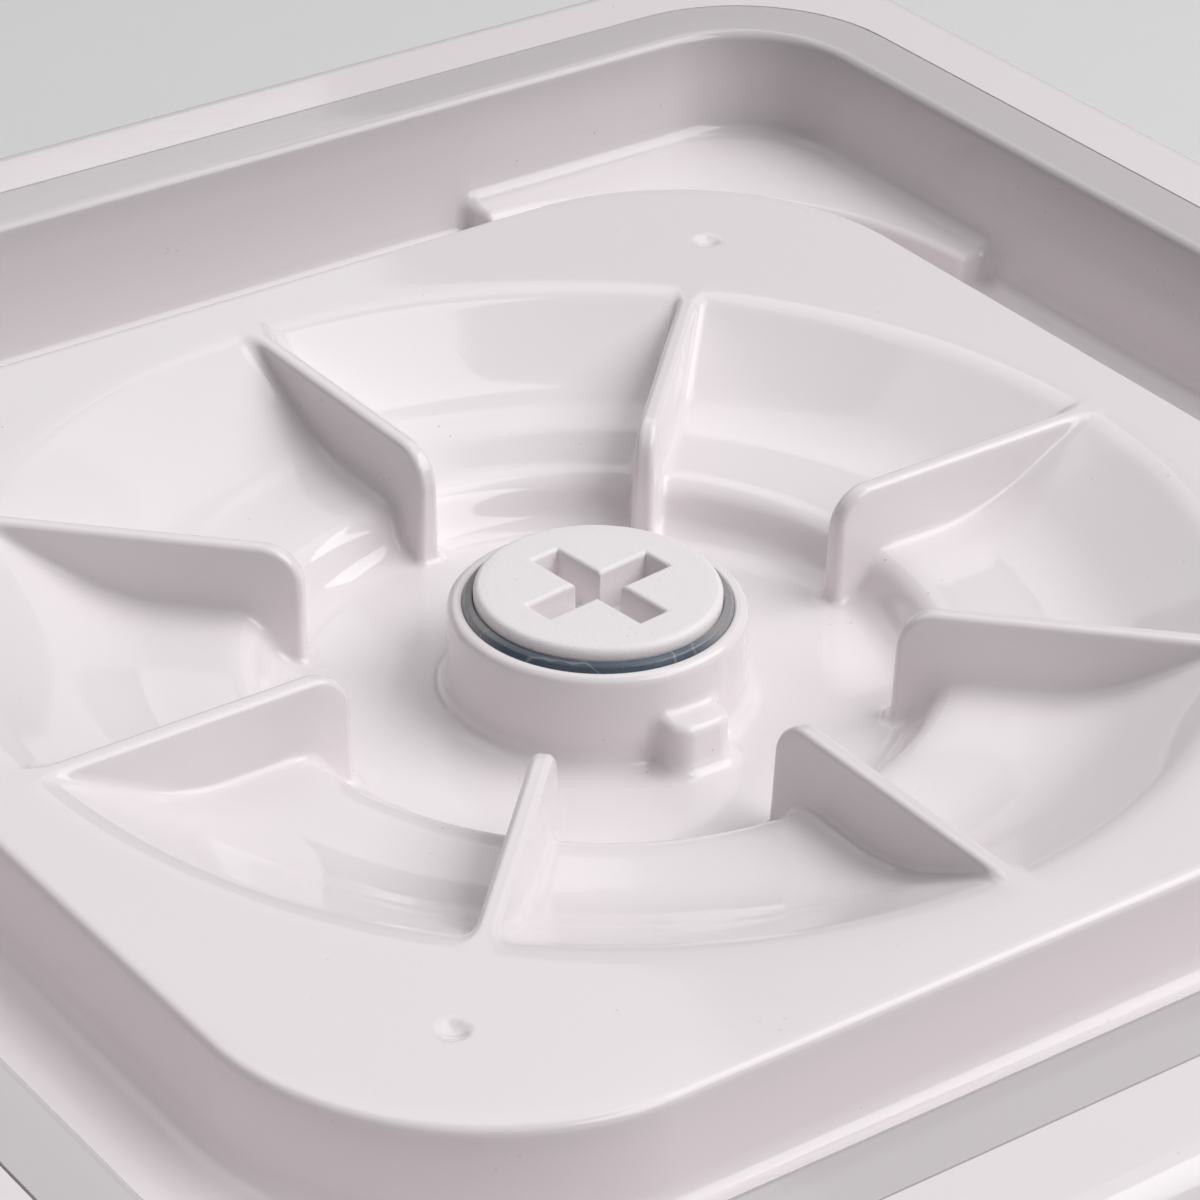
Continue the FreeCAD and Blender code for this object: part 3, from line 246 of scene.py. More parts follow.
def hub_solid(x, y, z):
    """The collar, taken as solid, with its key."""
    wall = np.hypot(x, y) - hub_r + (z + collar_sink) * draft / 4
    collar = meet(wall, z + collar_sink, collar_edge_r)
    return join(collar, key_solid(x, y, z), key_edge_r)


def deck_solid(x, y, z):
    """The raised deck with its recess, ribs and hub.

    Inside, each rib has its own rounded top and nose. Outside, ribs and cone are filleted together
    first and cut off level with the deck after that, so that the fillets run out into its edge.
    """
    r = np.hypot(x, y)
    along, across = on_rib(x, y)
    side = across - rib_half + z * draft
    nose = rib_nose - along + z * draft
    ground = recess_solid(r, z)
    inner = join(ground, meet(side, meet(z, nose, rib_nose_r), rib_edge_r), rib_foot_r)
    edge_r = rib_edge_r + (rim_edge_r - rib_edge_r) * ease(across, rim_edge_near, rim_edge_far)
    outer = meet(join(ground, side, rib_foot_r), z, edge_r)
    return join(np.where(r < rib_switch, inner, outer), hub_solid(x, y, z), floor_fillet)


def pad_solid(x, y, z):
    """The four raised corners of the channel."""
    over_x = np.maximum(np.abs(x) - deck_centre, 0)
    over_y = np.maximum(np.abs(y) - deck_centre, 0)
    arc = pad_arc_r - np.hypot(over_x, over_y)
    end = pad_start - np.minimum(np.abs(x), np.abs(y))
    slack = (z + channel_depth) * draft
    plan = meet(arc + slack, end + slack, pad_corner_r)
    return meet(plan, z + channel_depth - pad_height, pad_edge_r)


def tub_solid(x, y, z):
    """The whole upper face of the tub."""
    side = in_square(x, y, deck_half, deck_corner_r) + z * draft
    plateau = meet(deck_solid(x, y, z), side, deck_edge_r)
    ball_r = (dimple_r ** 2 + dimple_depth ** 2) / (2 * dimple_depth)
    aside = np.hypot(np.abs(x) - dimple_place, np.abs(y) - dimple_place)
    ball = np.hypot(aside, z - ball_r + dimple_depth) - ball_r
    plateau = meet(plateau, -ball, dimple_edge_r)
    wall = (z + channel_depth) * well_slope - in_square(x, y, well_half, well_corner_r)
    wall = meet(wall / math.hypot(1, well_slope), z - rim_rise, rim_lip_r)
    channel = join(z + channel_depth, pad_solid(x, y, z), pad_foot_r)
    return join(plateau, join(channel, wall, channel_foot_r), channel_foot_r)


# Mask of painted shade: the well's wall is painted greyer from its foot up to its rim.
def wall_shade_share(x, y, z):
    """How much of the well's wall a point is: 0 on the deck, 0.55 on its foot and 1 on its rim."""
    out = ease(in_square(x, y, well_half, well_corner_r), -channel_foot_r, -0.4)
    return out * (0.55 + 0.45 * ease(z, 0.0, rim_rise))


def cross_air(x, y, z):
    """How far a point lies outside the cross socket's space; its walls lean out a little."""
    slack = (z - disc_top + cross_depth) * draft
    first = np.maximum(np.abs(x) - cross_reach, np.abs(y) - cross_half)
    second = np.maximum(np.abs(y) - cross_reach, np.abs(x) - cross_half)
    return np.maximum(np.minimum(first, second) - slack, disc_top - cross_depth - z)


def disc_solid(x, y, z):
    """The drive disc with its cross socket."""
    body = meet(np.hypot(x, y) - disc_r, z - disc_top, disc_edge_r)
    return meet(body, -cross_air(x, y, z), cross_edge_r)


halvings = 30


def drop_onto(solid, x, y, low=-20.0, high=10.0):
    """Height of the solid's upper face under each plan point, found by halving."""
    low = np.full(np.shape(x), low)
    high = np.full(np.shape(x), high)
    for _ in range(halvings):
        middle = (low + high) / 2
        inside = solid(x, y, middle) < 0
        low = np.where(inside, middle, low)
        high = np.where(inside, high, middle)
    return (low + high) / 2


def reach_out(solid, start, direction, far):
    """Where rays from start, which lies inside the solid, come out of it, found by halving."""
    near = np.zeros(direction.shape[:-1])
    far = np.full(direction.shape[:-1], far)
    for _ in range(halvings):
        middle = (near + far) / 2
        points = start + direction * middle[..., None]
        inside = solid(points[..., 0], points[..., 1], points[..., 2]) < 0
        near = np.where(inside, middle, near)
        far = np.where(inside, far, middle)
    return start + direction * ((near + far) / 2)[..., None]


# ------------------------------------------------------------------ meshes

weld_reach = 2e-7           # in metres


def place_object(name, data):
    """New object at the origin, put in the scene."""
    thing = bpy.data.objects.new(name, data)
    bpy.context.scene.collection.objects.link(thing)
    return thing


def grid_faces(rows, columns, closed=False, flip=False):
    """Quads over a grid of points that is stored row by row."""
    across = columns if closed else columns - 1
    row, column = np.meshgrid(np.arange(rows - 1), np.arange(across), indexing="ij")
    following = (column + 1) % columns
    corners = [row * columns + column, row * columns + following,
               (row + 1) * columns + following, (row + 1) * columns + column]
    faces = np.stack([corner.ravel() for corner in corners], axis=1)
    return faces[:, ::-1] if flip else faces


class Skin:
    """Grids of points, in mm about the drive axis and the deck, gathered into one mesh."""

    def __init__(self):
        self.points = []
        self.faces = []
        self.count = 0

    def add(self, grid, closed=False, flip=False):
        rows, columns = grid.shape[:2]
        self.add_faces(grid.reshape(-1, 3), grid_faces(rows, columns, closed, flip))

    def add_faces(self, points, faces):
        self.points.append(points)
        self.faces.append(faces + self.count)
        self.count += len(points)

    def build(self, name, material, body="root"):
        """One piece in metres in the row frame, with shared edges welded, that rides on a body."""
        work = bmesh.new()
        mesh = bpy.data.meshes.new(name)
        points = (np.concatenate(self.points) + drive_top) * MM
        faces = [face for group in self.faces for face in group.tolist()]
        mesh.from_pydata(points.tolist(), [], faces)
        work.from_mesh(mesh)
        bmesh.ops.remove_doubles(work, verts=work.verts, dist=weld_reach)
        work.to_mesh(mesh)
        work.free()
        mesh.polygons.foreach_set("use_smooth", np.full(len(mesh.polygons), True))
        mesh.update()
        piece = place_object(name, mesh)
        mesh.materials.append(material)
        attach(piece, body)
        return piece


def between(a, b, count):
    """Even steps from a to b, without b."""
    return list(np.linspace(a, b, count, endpoint=False))


def lifted(plan, height):
    """Plan points with their heights."""
    return np.concatenate([plan, height[..., None]], axis=-1)


def dropped(plan, solid, *limits):
    """Plan points with the height of the solid's upper face."""
    return lifted(plan, drop_onto(solid, plan[..., 0], plan[..., 1], *limits))


def ways_at(angles):
    """Plan directions of the angles."""
    return np.stack([np.cos(angles), np.sin(angles)], axis=-1)


def turned(grid, angle):
    """The grid turned about the drive axis."""
    c, s = math.cos(angle), math.sin(angle)
    x, y = grid[..., 0], grid[..., 1]
    return np.stack([x * c - y * s, x * s + y * c, grid[..., 2]], axis=-1)


def all_eighths(eighth, start=0.0):
    """One eighth mirrored and turned to all eight, each with whether it is mirrored."""
    halves = [(eighth, False), (eighth[..., [1, 0, 2]], True)]
    return [(turned(grid, math.pi / 2 * quarter + start), mirrored)
            for quarter in range(4) for grid, mirrored in halves]


def turned_grid(run, count, start=0.0):
    """Points of a run of (radius, height), turned about the drive axis."""
    angles = start + 2 * np.pi * np.arange(count) / count
    run = np.asarray(run)
    radius = run[:, 0][:, None]
    height = np.broadcast_to(run[:, 1][:, None], (len(run), count))
    return np.stack([radius * np.cos(angles), radius * np.sin(angles), height], axis=-1)


def rounded_run(corners, steps):
    """Open run of (radius, height) points, each corner (r, z, rounding) turned into an arc."""
    points = []
    for index, (r, z, rounding) in enumerate(corners):
        here = np.array([r, z])
        if rounding == 0 or index in (0, len(corners) - 1):
            points.append(here)
            continue
        back = np.array(corners[index - 1][:2]) - here
        ahead = np.array(corners[index + 1][:2]) - here
        back /= np.linalg.norm(back)
        ahead /= np.linalg.norm(ahead)
        half = math.acos(np.clip(back @ ahead, -1, 1)) / 2
        centre = here + (back + ahead) / np.linalg.norm(back + ahead) * rounding / math.sin(half)
        first = here + back * rounding / math.tan(half) - centre
        last = here + ahead * rounding / math.tan(half) - centre
        turn = math.atan2(first[0] * last[1] - first[1] * last[0], first @ last)
        for step in np.linspace(0, turn, steps + 1):
            c, s = math.cos(step), math.sin(step)
            arm = np.array([first[0] * c - first[1] * s, first[0] * s + first[1] * c])
            points.append(centre + arm)
    return points


def turned_piece(name, corners, material, body, count=96, steps=5, place=None):
    """Piece turned from corners (radius, height, rounding) that run clockwise round its section."""
    skin = Skin()
    grid = turned_grid(rounded_run(corners, steps), count)
    skin.add(place(grid) if place else grid, closed=True, flip=True)
    return skin.build(name, material, body)


# ------------------------------------------------------------------ recess with its ribs

top_shares = np.array([0.0, 0.35, 0.7])
edge_turns = np.radians([0, 22, 44, 64, 80, 90])
side_shares = np.array([0.12, 0.34, 0.56, 0.78, 1.0])
foot_turns = np.radians([14, 28, 42, 56, 73, 90])
floor_shares = np.linspace(0, 1, 13)[1:] ** 1.35
line_count = sum(map(len, (top_shares, edge_turns, side_shares, foot_turns, floor_shares)))
least_side = 0.5
inner_reach = 23.0          # the recess's inner circle, on the floor
ring_join = 22.6            # the hub's outermost ring, just inside it
ring_points = 7             # on half a sector's part of the inner circle
outer_reach = rim_r + 3.0
nose_middle = rib_nose + rib_half
bisector = math.pi / rib_count


def lines_across(half, edge, depth, far):
    """Distances from a rib's middle over its top, edge, side and foot, and the floor to far."""
    side = half + draft * (edge + np.maximum(depth - rib_foot_r - edge, least_side) * side_shares)
    foot = side[-1] + rib_foot_r * (1 - np.cos(foot_turns))
    ground = foot[-1] + (far - foot[-1]) * floor_shares
    edges = half - edge + edge * np.sin(edge_turns)
    return np.concatenate([top_shares * (half - edge), edges, side, foot, ground])


def side_rows():
    """Radii of the rows outside the rib's nose, close together where the ground turns."""
    stops = [(rim_r + 0.32, 7), (rim_r - 0.34, 8), (rim_r - 4.6, 8), (mid_r + 0.55, 8),
             (mid_r - 0.62, 9), (step_r + 0.92, 10), (step_r - 0.5, 6), (floor_r + 0.62, 8),
             (nose_middle, 0)]
    rows = [outer_reach, rim_r + 1.1]
    for (start, count), (end, _) in zip(stops, stops[1:]):
        rows += between(start, end, count)
    return rows + [nose_middle]


def nose_half(turn):
    """How far the rib's outline lies from its nose's middle in this direction."""
    t = np.linspace(0.2, 2.0, 1801)
    x = nose_middle + t * math.cos(turn)
    y = t * math.sin(turn)
    outline = meet(np.abs(y) - rib_half, rib_nose - x, rib_edge_r)
    return float(np.interp(0.0, outline, t))


def half_sector():
    """Plan points from one rib's middle line to the line half way to the next rib."""
    rows = []
    near = rib_half * 3
    for r in side_rows():
        y = lines_across(rib_half, rib_edge_r, recess_depth(r), r * bisector)
        blend = np.clip((y - near) / near, 0, 1)
        angle = np.arcsin(np.minimum(y / r, 1)) * (1 - blend) + (y / r) * blend
        angle[-1] = bisector
        rows.append(r * ways_at(angle))
    corner = nose_middle * ways_at(bisector)
    low_corner = inner_reach * ways_at(bisector)
    middle = np.array([nose_middle, 0.0])
    turns = np.radians(np.linspace(90, 180, 17))[1:]
    along = len(turns) - ring_points
    ends = [corner + (low_corner - corner) * share for share in np.linspace(0, 1, along + 1)[1:]]
    ends += [inner_reach * ways_at(angle)
             for angle in np.linspace(bisector, 0, ring_points + 1)[1:]]
    for turn, end in zip(turns, ends):
        half = nose_half(turn)
        reach = np.linalg.norm(end - middle)
        t = lines_across(half, min(rib_edge_r, half * 0.8), floor_depth, reach)
        end_way = (end - middle) / reach
        mix = np.clip((t - half - rib_foot_r) / (reach - half - rib_foot_r), 0, 1)[:, None]
        way = ways_at(turn) * (1 - mix) + end_way * mix
        way /= np.linalg.norm(way, axis=1)[:, None]
        rows.append(middle + way * t[:, None])
    return np.stack(rows)


def recess_grids():
    """The recess from the floor round the hub out past the rim; each grid says if it is mirrored.

    Rows run along a rib and fan round its nose, lines run across it to the half way line. Each plan
    point is dropped onto the joined solid of ground, ribs and fillets, and the half sector is
    mirrored and turned to all sixteen.
    """
    half = dropped(half_sector(), deck_solid)
    return [(turned(half * np.array([1, side, 1]), 2 * math.pi * index / rib_count), side < 0)
            for index in range(rib_count) for side in (1, -1)]


# ------------------------------------------------------------------ deck edge, channel and wall

pad_arc_start = math.asin((pad_start - deck_centre) / pad_arc_r)
pad_run_x = deck_centre + pad_arc_r * math.cos(pad_arc_start)
corner_run = 42.0           # about how long an outline is from the pad's end to the corner


def share_lines():
    """Where an eighth's lines lie on each outline: 0 its middle, 1 the pad's end, 2 the corner."""
    rib_side = list(np.linspace(0, 0.26, 20))
    middle = list(np.linspace(0.26, 0.965, 8))[1:]
    close = [1 + o / pad_start for o in (-1.3, -1.0, -0.75, -0.5, -0.32, -0.18, -0.08, 0.0)]
    beyond = [1 + o / corner_run for o in (0.09, 0.2, 0.38, 0.6, 0.9, 1.2, 1.5, 1.9)]
    last = list(np.linspace(1.73, 2.0, 13))
    needed = 2 * line_count - 1 - sum(map(len, (rib_side, middle, close, beyond, last)))
    gap = list(np.linspace(beyond[-1], last[0], needed + 2))[1:-1]
    return np.array(rib_side + middle + close + beyond + gap + last)


def square_outline(half, corner, start, share):
    """Points and outward directions on one eighth of a round-cornered square.

    start is how far along the outline share 1 lies; what is left up to the middle of the corner
    takes shares 1 to 2.
    """
    centre = half - corner
    first = min(start, centre)
    head = start - first
    rest = (centre - first) + corner * math.pi / 4 - head
    run = np.where(share <= 1, share * (first + head), first + head + (share - 1) * rest)
    on_side = np.minimum(run, centre)
    angle = np.maximum(run - centre, 0) / corner
    points = np.stack([centre + corner * np.cos(angle), on_side + corner * np.sin(angle)], axis=-1)
    return points, ways_at(angle)


def pad_outline(share):
    """The side line up to the pad's end, then the pad's arc."""
    angle = pad_arc_start + (math.pi / 4 - pad_arc_start) * (share - 1)
    on_arc = (share > 1)[:, None]
    arc = deck_centre + pad_arc_r * ways_at(angle)
    side = np.stack([np.full(share.shape, pad_run_x), share * pad_start], axis=-1)
    return np.where(on_arc, arc, side), np.where(on_arc, ways_at(angle), np.array([1.0, 0.0]))


def eighth_plan(circle):
    """Rows of plan points from the circle round the recess out to the flange, and its outline."""
    share = share_lines()
    arc_head = deck_centre + deck_corner_r * pad_arc_start
    deck, deck_way = square_outline(deck_half, deck_corner_r, arc_head, share)
    pad_line, pad_way = pad_outline(share)
    well, well_way = square_outline(well_half, well_corner_r, pad_start, share)
    outer, outer_way = square_outline(flange_half, flange_corner_r, pad_start + 4, share)

    edge = deck - deck_way * deck_edge_r
    diagonal = np.linalg.norm(edge[-1] - circle[-1])
    dimple_share = (math.hypot(dimple_place, dimple_place) - outer_reach) / diagonal
    dimple_span = dimple_r / diagonal
    steps = [0.22, 0.45, 0.65, 0.85, 1.0, 1.15, 1.6]
    steps = [-step for step in reversed(steps)] + [0] + steps
    shares = [0.15, 0.3] + [dimple_share + dimple_span * step for step in steps] + [0.75, 0.93]
    rows = [circle] + [circle + (edge - circle) * f for f in shares]
    rows += [deck - deck_way * deck_edge_r * (1 - sin_of(a)) for a in (0, 15, 30, 45, 60, 75, 88)]

    drop = channel_depth - channel_foot_r
    foot = draft * drop
    rows += [deck + deck_way * draft * drop * f for f in (0.15, 0.4, 0.7, 1.0)]
    rows += [deck + deck_way * (foot + channel_foot_r * (1 - cos_of(a)))
             for a in (15, 30, 45, 60, 75, 92)]
    pad_rows = [pad_line + pad_way * o for o in (
        -1.1, -0.8, -0.5, -0.3, -0.18, -0.1, -0.05, 0.0, 0.06, 0.15, 0.35, 0.65, 1.0, 1.3, 1.6)]
    before = rows[-1]
    rows += [before + (pad_rows[0] - before) * f for f in (0.33, 0.67)] + pad_rows

    on_pad = np.clip((share - 1) * corner_run / pad_edge_r, 0, 1)
    base = (well_slope * pad_height * on_pad)[:, None]
    lean_turn = math.radians((90 - math.degrees(math.atan(well_slope))) / 2)
    start = base - channel_foot_r * math.tan(lean_turn)
    foot_rows = [well + well_way * (start + channel_foot_r * sin_of(a))
                 for a in (-4, 8, 20, 32, 44, 56, 68, 80)]
    rows += [rows[-1] + (foot_rows[0] - rows[-1]) * 0.5] + foot_rows
    wall_start = start + channel_foot_r * sin_of(84)
    lip_end = well_lean + rim_lip_r * math.tan(lean_turn)
    wall_end = lip_end - rim_lip_r * sin_of(84)
    rows += [well + well_way * (wall_start + (wall_end - wall_start) * f)
             for f in (0.02, 0.25, 0.5, 0.75, 0.98)]
    rows += [well + well_way * (lip_end - rim_lip_r * sin_of(a))
             for a in (78, 66, 54, 42, 30, 18, 6, -3)]
    last = outer - outer_way * flange_edge_r
    rows += [rows[-1] + (last - rows[-1]) * f for f in (0.5, 1.0)]
    rows += [outer - outer_way * flange_edge_r * (1 - sin_of(a)) for a in (35, 65, 89)]
    return np.stack(rows), outer


def well_grids():
    """Deck, channel with its pads, well wall, lip and flange; each grid says if it is mirrored.

    Rows are outlines that change from the recess's circle through round-cornered squares to the
    flange, with the same lines on each. Points are dropped onto the joined solid, and the eighth is
    mirrored and turned to all eight.
    """
    plan = half_sector()[0]
    other = plan[::-1].copy()
    c, s = math.cos(math.pi / 4), math.sin(math.pi / 4)
    mirrored = np.stack([other[:, 0] * c + other[:, 1] * s,
                         other[:, 0] * s - other[:, 1] * c], axis=1)
    rows, outer = eighth_plan(np.concatenate([plan, mirrored[1:]]))
    skirt = [lifted(outer, np.full(len(outer), rim_rise - down))[None]
             for down in (flange_edge_r, flange_depth)]
    return all_eighths(np.concatenate([dropped(rows, tub_solid)] + skirt))


# ------------------------------------------------------------------ hub

heart_in = 2.8              # the ring that the hub's rays start from lies this far inside its face
heart_depth = 10.5          # and this far below the deck
ray_reach = 13.0


def recess_ring():
    """The recess's inner circle, on the floor."""
    count = 2 * rib_count * ring_points
    return dropped(inner_reach * ways_at(2 * math.pi * np.arange(count) / count), deck_solid)


def hub_angles():
    """Lines round the hub, close together at the key's two sides."""
    near = np.radians(between(0, 7.5, 12) + between(7.5, 14.5, 38) + between(14.5, 22, 12)
                      + list(np.linspace(22, 180, 58)))
    return -math.pi / 2 + np.concatenate([near, -near[1:-1][::-1]])


def hub_grid():
    """The hub with its key, the floor round it and the collar's bore.

    The middle rows are where rays from a ring inside the wall come out of the joined solid of
    collar and key. The rows under them are plan outlines that pass from the hub's to a circle,
    dropped onto the same solid joined to the floor. The last rows turn over the collar's inner
    edge and go down its bore.
    """
    way = ways_at(hub_angles())
    flat = np.zeros(len(way))
    heart = lifted(way * (hub_r - heart_in), flat - heart_depth)
    span_in = collar_inner_r + collar_lip_r - hub_r + heart_in
    top_climb = math.degrees(math.atan2(heart_depth - collar_sink, span_in))
    climbs = np.radians(between(0, 10, 3) + between(10, 56, 30)
                        + list(np.linspace(56, top_climb, 16)))
    direction = np.stack([lifted(way * math.cos(climb), flat + math.sin(climb))
                          for climb in climbs])
    upper = reach_out(hub_solid, heart[None], direction, ray_reach)
    level = lifted(way, flat)
    foot = np.stack([reach_out(hub_solid, heart - np.array([0, 0, down]), level, ray_reach)
                     for down in (1.45, 1.0, 0.5)])
    reach = np.hypot(foot[0][:, 0], foot[0][:, 1])
    fillet_end = reach + floor_fillet * 1.02
    radii = [fillet_end + (ring_join - fillet_end) * share for share in (1.0, 0.6, 0.25, 0.0)]
    radii += [reach + floor_fillet * (1 - cos_of(a)) for a in (78, 66, 54, 42, 30, 20, 11)]
    lower = dropped(np.stack(radii)[..., None] * way, deck_solid)
    edge = [(collar_inner_r + collar_lip_r * (1 - sin_of(a)),
             -collar_sink - collar_lip_r * (1 - cos_of(a))) for a in (15, 30, 45, 60, 75, 90)]
    bore = np.stack([lifted(way * r, flat + z) for r, z in edge + [(collar_inner_r, bore_end)]])
    return np.concatenate([lower, foot, upper, bore])


def ring_between(inner, outer):
    """Triangles between two rings of points; each joins the last point passed on the other ring."""
    inner_angle = np.arctan2(inner[:, 1], inner[:, 0])
    outer_angle = np.arctan2(outer[:, 1], outer[:, 0])
    inner = inner[np.argsort(inner_angle)]
    outer = outer[np.argsort(outer_angle)]
    inner_angle = np.sort(inner_angle)
    outer_angle = np.sort(outer_angle)
    m, n = len(inner), len(outer)
    i = np.arange(m)
    j = np.arange(n)
    beside_inner = (np.searchsorted(outer_angle, inner_angle) - 1) % n
    beside_outer = (np.searchsorted(inner_angle, outer_angle, side="right") - 1) % m
    first = np.stack([(i - 1) % m, beside_inner + m, i], axis=1)
    second = np.stack([beside_outer, (j - 1) % n + m, j + m], axis=1)
    return np.concatenate([inner, outer]), np.concatenate([first, second])


# ------------------------------------------------------------------ drive disc

end_count = 9
side_count = 24


def disc_grids():
    """The disc's face with its cross socket, and its side; each grid says if it is mirrored.

    Lines cross the socket's outline and rows follow it, from the arm's middle line out over the
    edge, and then pass into circles. One eighth is mirrored and turned to all eight, and the whole
    is turned to how the disc stands.
    """
    end_part = np.linspace(0, 1, end_count)
    side_part = np.linspace(0, 1, side_count + 1)[1:] ** 0.9
    side_x = cross_reach + (cross_half - cross_reach) * side_part
    along_x = np.concatenate([np.full(end_count, cross_reach), side_x])
    along_y = np.concatenate([end_part * cross_half, np.full(side_count, cross_half)])
    lean = 0.1                  # how far the socket's walls lean out, at most
    offsets = np.concatenate([
        np.linspace(-cross_half, -0.12, 5), [-0.04, -0.015, 0.005, 0.03, 0.06, 0.09, lean],
        lean + cross_edge_r * (1 - np.cos(np.radians([12, 25, 38, 51, 64, 77, 92]))), [0.7, 1.1]])
    rows = [np.stack([along_x + offset, along_y * ((cross_half + offset) / cross_half)], axis=-1)
            for offset in offsets]
    last = rows[-1]
    rim = disc_r - disc_edge_r
    way = ways_at(np.linspace(0, math.pi / 4, len(along_x)))
    rows += [last + (way * rim - last) * f for f in (0.3, 0.6, 0.85, 1.0)]
    rows += [way * (rim + disc_edge_r * sin_of(a)) for a in (15, 30, 45, 60, 75, 86)]
    face = dropped(np.stack(rows), disc_solid, -9.0, 1.0)
    side = [lifted(way * disc_r, np.full(len(way), level))[None]
            for level in (disc_top - disc_edge_r, disc_top - disc_thickness + disc_low_edge)]
    return all_eighths(np.concatenate([face] + side), cross_turn)


def disc_under():
    """The disc's underside and its neck, from the last ring of the disc's side to a pole."""
    low = disc_top - disc_thickness
    foot = disc_low.z - deck_z
    run = rounded_run([(disc_r, low + disc_low_edge, 0), (disc_r - disc_low_edge, low, 0),
                       (neck_r, low, 0.5), (neck_r, foot, 0.3), (0, foot, 0)], 3)
    return turned_grid(run, 8 * (end_count + side_count - 1), cross_turn)


# ------------------------------------------------------------------ materials

VECTOR = "NodeSocketVector"
COLOUR = "NodeSocketColor"
NUMBER = "NodeSocketFloat"


def group(name, inputs, output, kind):
    """New shader group with one output: its tree, its inputs and its end.

    Each input is a socket's kind or, for a number, its value.
    """
    tree = bpy.data.node_groups.new(name, "ShaderNodeTree")
    for label, value in inputs.items():
        if isinstance(value, str):
            tree.interface.new_socket(label, in_out="INPUT", socket_type=value)
        else:
            socket = tree.interface.new_socket(label, in_out="INPUT", socket_type=NUMBER)
            socket.default_value = value
    tree.interface.new_socket(output, in_out="OUTPUT", socket_type=kind)
    start = tree.nodes.new("NodeGroupInput")
    end = tree.nodes.new("NodeGroupOutput")
    return tree, start.outputs, end.inputs[output]


def add(tree, kind, feeds, **settings):
    """A node with its settings; feeds gives an input a value or the output that feeds it."""
    node = tree.nodes.new(kind)
    for label, value in settings.items():
        setattr(node, label, value)
    for label, value in feeds.items():
        if isinstance(value, bpy.types.NodeSocket):
            tree.links.new(value, node.inputs[label])
        else:
            node.inputs[label].default_value = value
    return node


def use(tree, shared, vector, **feeds):
    """Output of a shared group."""
    return add(tree, "ShaderNodeGroup", {"Vector": vector, **feeds}, node_tree=shared).outputs[0]


def noise(tree, vector, scale, **feeds):
    """Output of a noise texture."""
    feeds = {"Vector": vector, "Scale": scale, **feeds}
    return add(tree, "ShaderNodeTexNoise", feeds).outputs["Fac"]


def reckon(tree, operation, *feeds):
    """Output of a math node."""
    return add(tree, "ShaderNodeMath", dict(enumerate(feeds)), operation=operation).outputs[0]


def span(tree, value, low, high, to_low=0.0, to_high=1.0):
    """Value mapped from the range low to high onto another range, and held within it."""
    feeds = {"From Min": low, "From Max": high, "To Min": to_low, "To Max": to_high, "Value": value}
    return add(tree, "ShaderNodeMapRange", feeds).outputs["Result"]


def make_tone():
    """Slow blotches of lighter and darker tone."""
    tree, given, end = group("tone", {"Vector": VECTOR, "Color": COLOUR, "Scale": 30.0,
                                      "Amount": 0.03}, "Color", COLOUR)
    cloud = noise(tree, given["Vector"], given["Scale"], Detail=4.0, Roughness=0.55)
    centred = reckon(tree, "SUBTRACT", cloud, 0.5)
    scaled = reckon(tree, "MULTIPLY_ADD", centred, given["Amount"], 1.0)
    shade = add(tree, "ShaderNodeVectorMath", {0: given["Color"], "Scale": scaled},
                operation="SCALE")
    tree.links.new(shade.outputs[0], end)
    return tree


def make_fibres():
    """Thin curved fibres, as a mask: where a slow noise passes its middle value."""
    tree, given, end = group("fibres", {"Vector": VECTOR, "Scale": 120.0, "Width": 0.012,
                                        "Amount": 0.5}, "Mask", NUMBER)
    cloud = noise(tree, given["Vector"], given["Scale"], Detail=2.0)
    away = reckon(tree, "ABSOLUTE", reckon(tree, "SUBTRACT", cloud, 0.5))
    mask = span(tree, reckon(tree, "DIVIDE", away, given["Width"]), 1.0, 0.0)
    tree.links.new(reckon(tree, "MULTIPLY", mask, given["Amount"]), end)
    return tree


def make_fade():
    """Mask that climbs from 0 to the amount along one direction."""
    tree, given, end = group("painted_reflection", {"Vector": VECTOR, "Direction": VECTOR, "From": 0.0,
                                      "To": 0.01, "Amount": 0.2}, "Mask", NUMBER)
    along = add(tree, "ShaderNodeVectorMath", {0: given["Vector"], 1: given["Direction"]},
                operation="DOT_PRODUCT")
    climb = add(tree, "ShaderNodeMapRange", {
        "Value": along.outputs["Value"], "From Min": given["From"], "From Max": given["To"],
        "To Max": given["Amount"]}, interpolation_type="SMOOTHSTEP")
    tree.links.new(climb.outputs["Result"], end)
    return tree


def make_specks():
    """Small scattered specks of dust, as a mask."""
    tree, given, end = group("specks", {"Vector": VECTOR, "Scale": 900.0, "Spread": 60.0,
                                        "Amount": 0.3}, "Mask", NUMBER)
    cells = add(tree, "ShaderNodeTexVoronoi", {"Vector": given["Vector"], "Scale": given["Scale"]},
                feature="F1")
    dots = span(tree, cells.outputs["Distance"], 0.2, 0.1)
    cloud = noise(tree, given["Vector"], given["Spread"], Detail=3.0)
    patch = span(tree, cloud, 0.52, 0.64)
    pick = span(tree, cells.outputs["Color"], 0.80, 0.86)
    mask = dots
    for factor in (patch, pick, given["Amount"]):
        mask = reckon(tree, "MULTIPLY", mask, factor)
    tree.links.new(mask, end)
    return tree


def make_skin():
    """Normal of a moulded face: fine grain over slow waves."""
    tree, given, end = group("skin", {"Vector": VECTOR, "Grain Scale": 4000.0, "Grain": 0.02,
                                      "Wave Scale": 90.0, "Wave": 0.05}, "Normal", VECTOR)
    fine = noise(tree, given["Vector"], given["Grain Scale"], Detail=2.0)
    slow = noise(tree, given["Vector"], given["Wave Scale"], Detail=3.0, Roughness=0.45)
    waves = add(tree, "ShaderNodeBump", {
        "Distance": 0.001, "Strength": given["Wave"], "Height": slow})
    grain = add(tree, "ShaderNodeBump", {
        "Distance": 0.0001, "Strength": given["Grain"], "Height": fine,
        "Normal": waves.outputs["Normal"]})
    tree.links.new(grain.outputs["Normal"], end)
    return tree


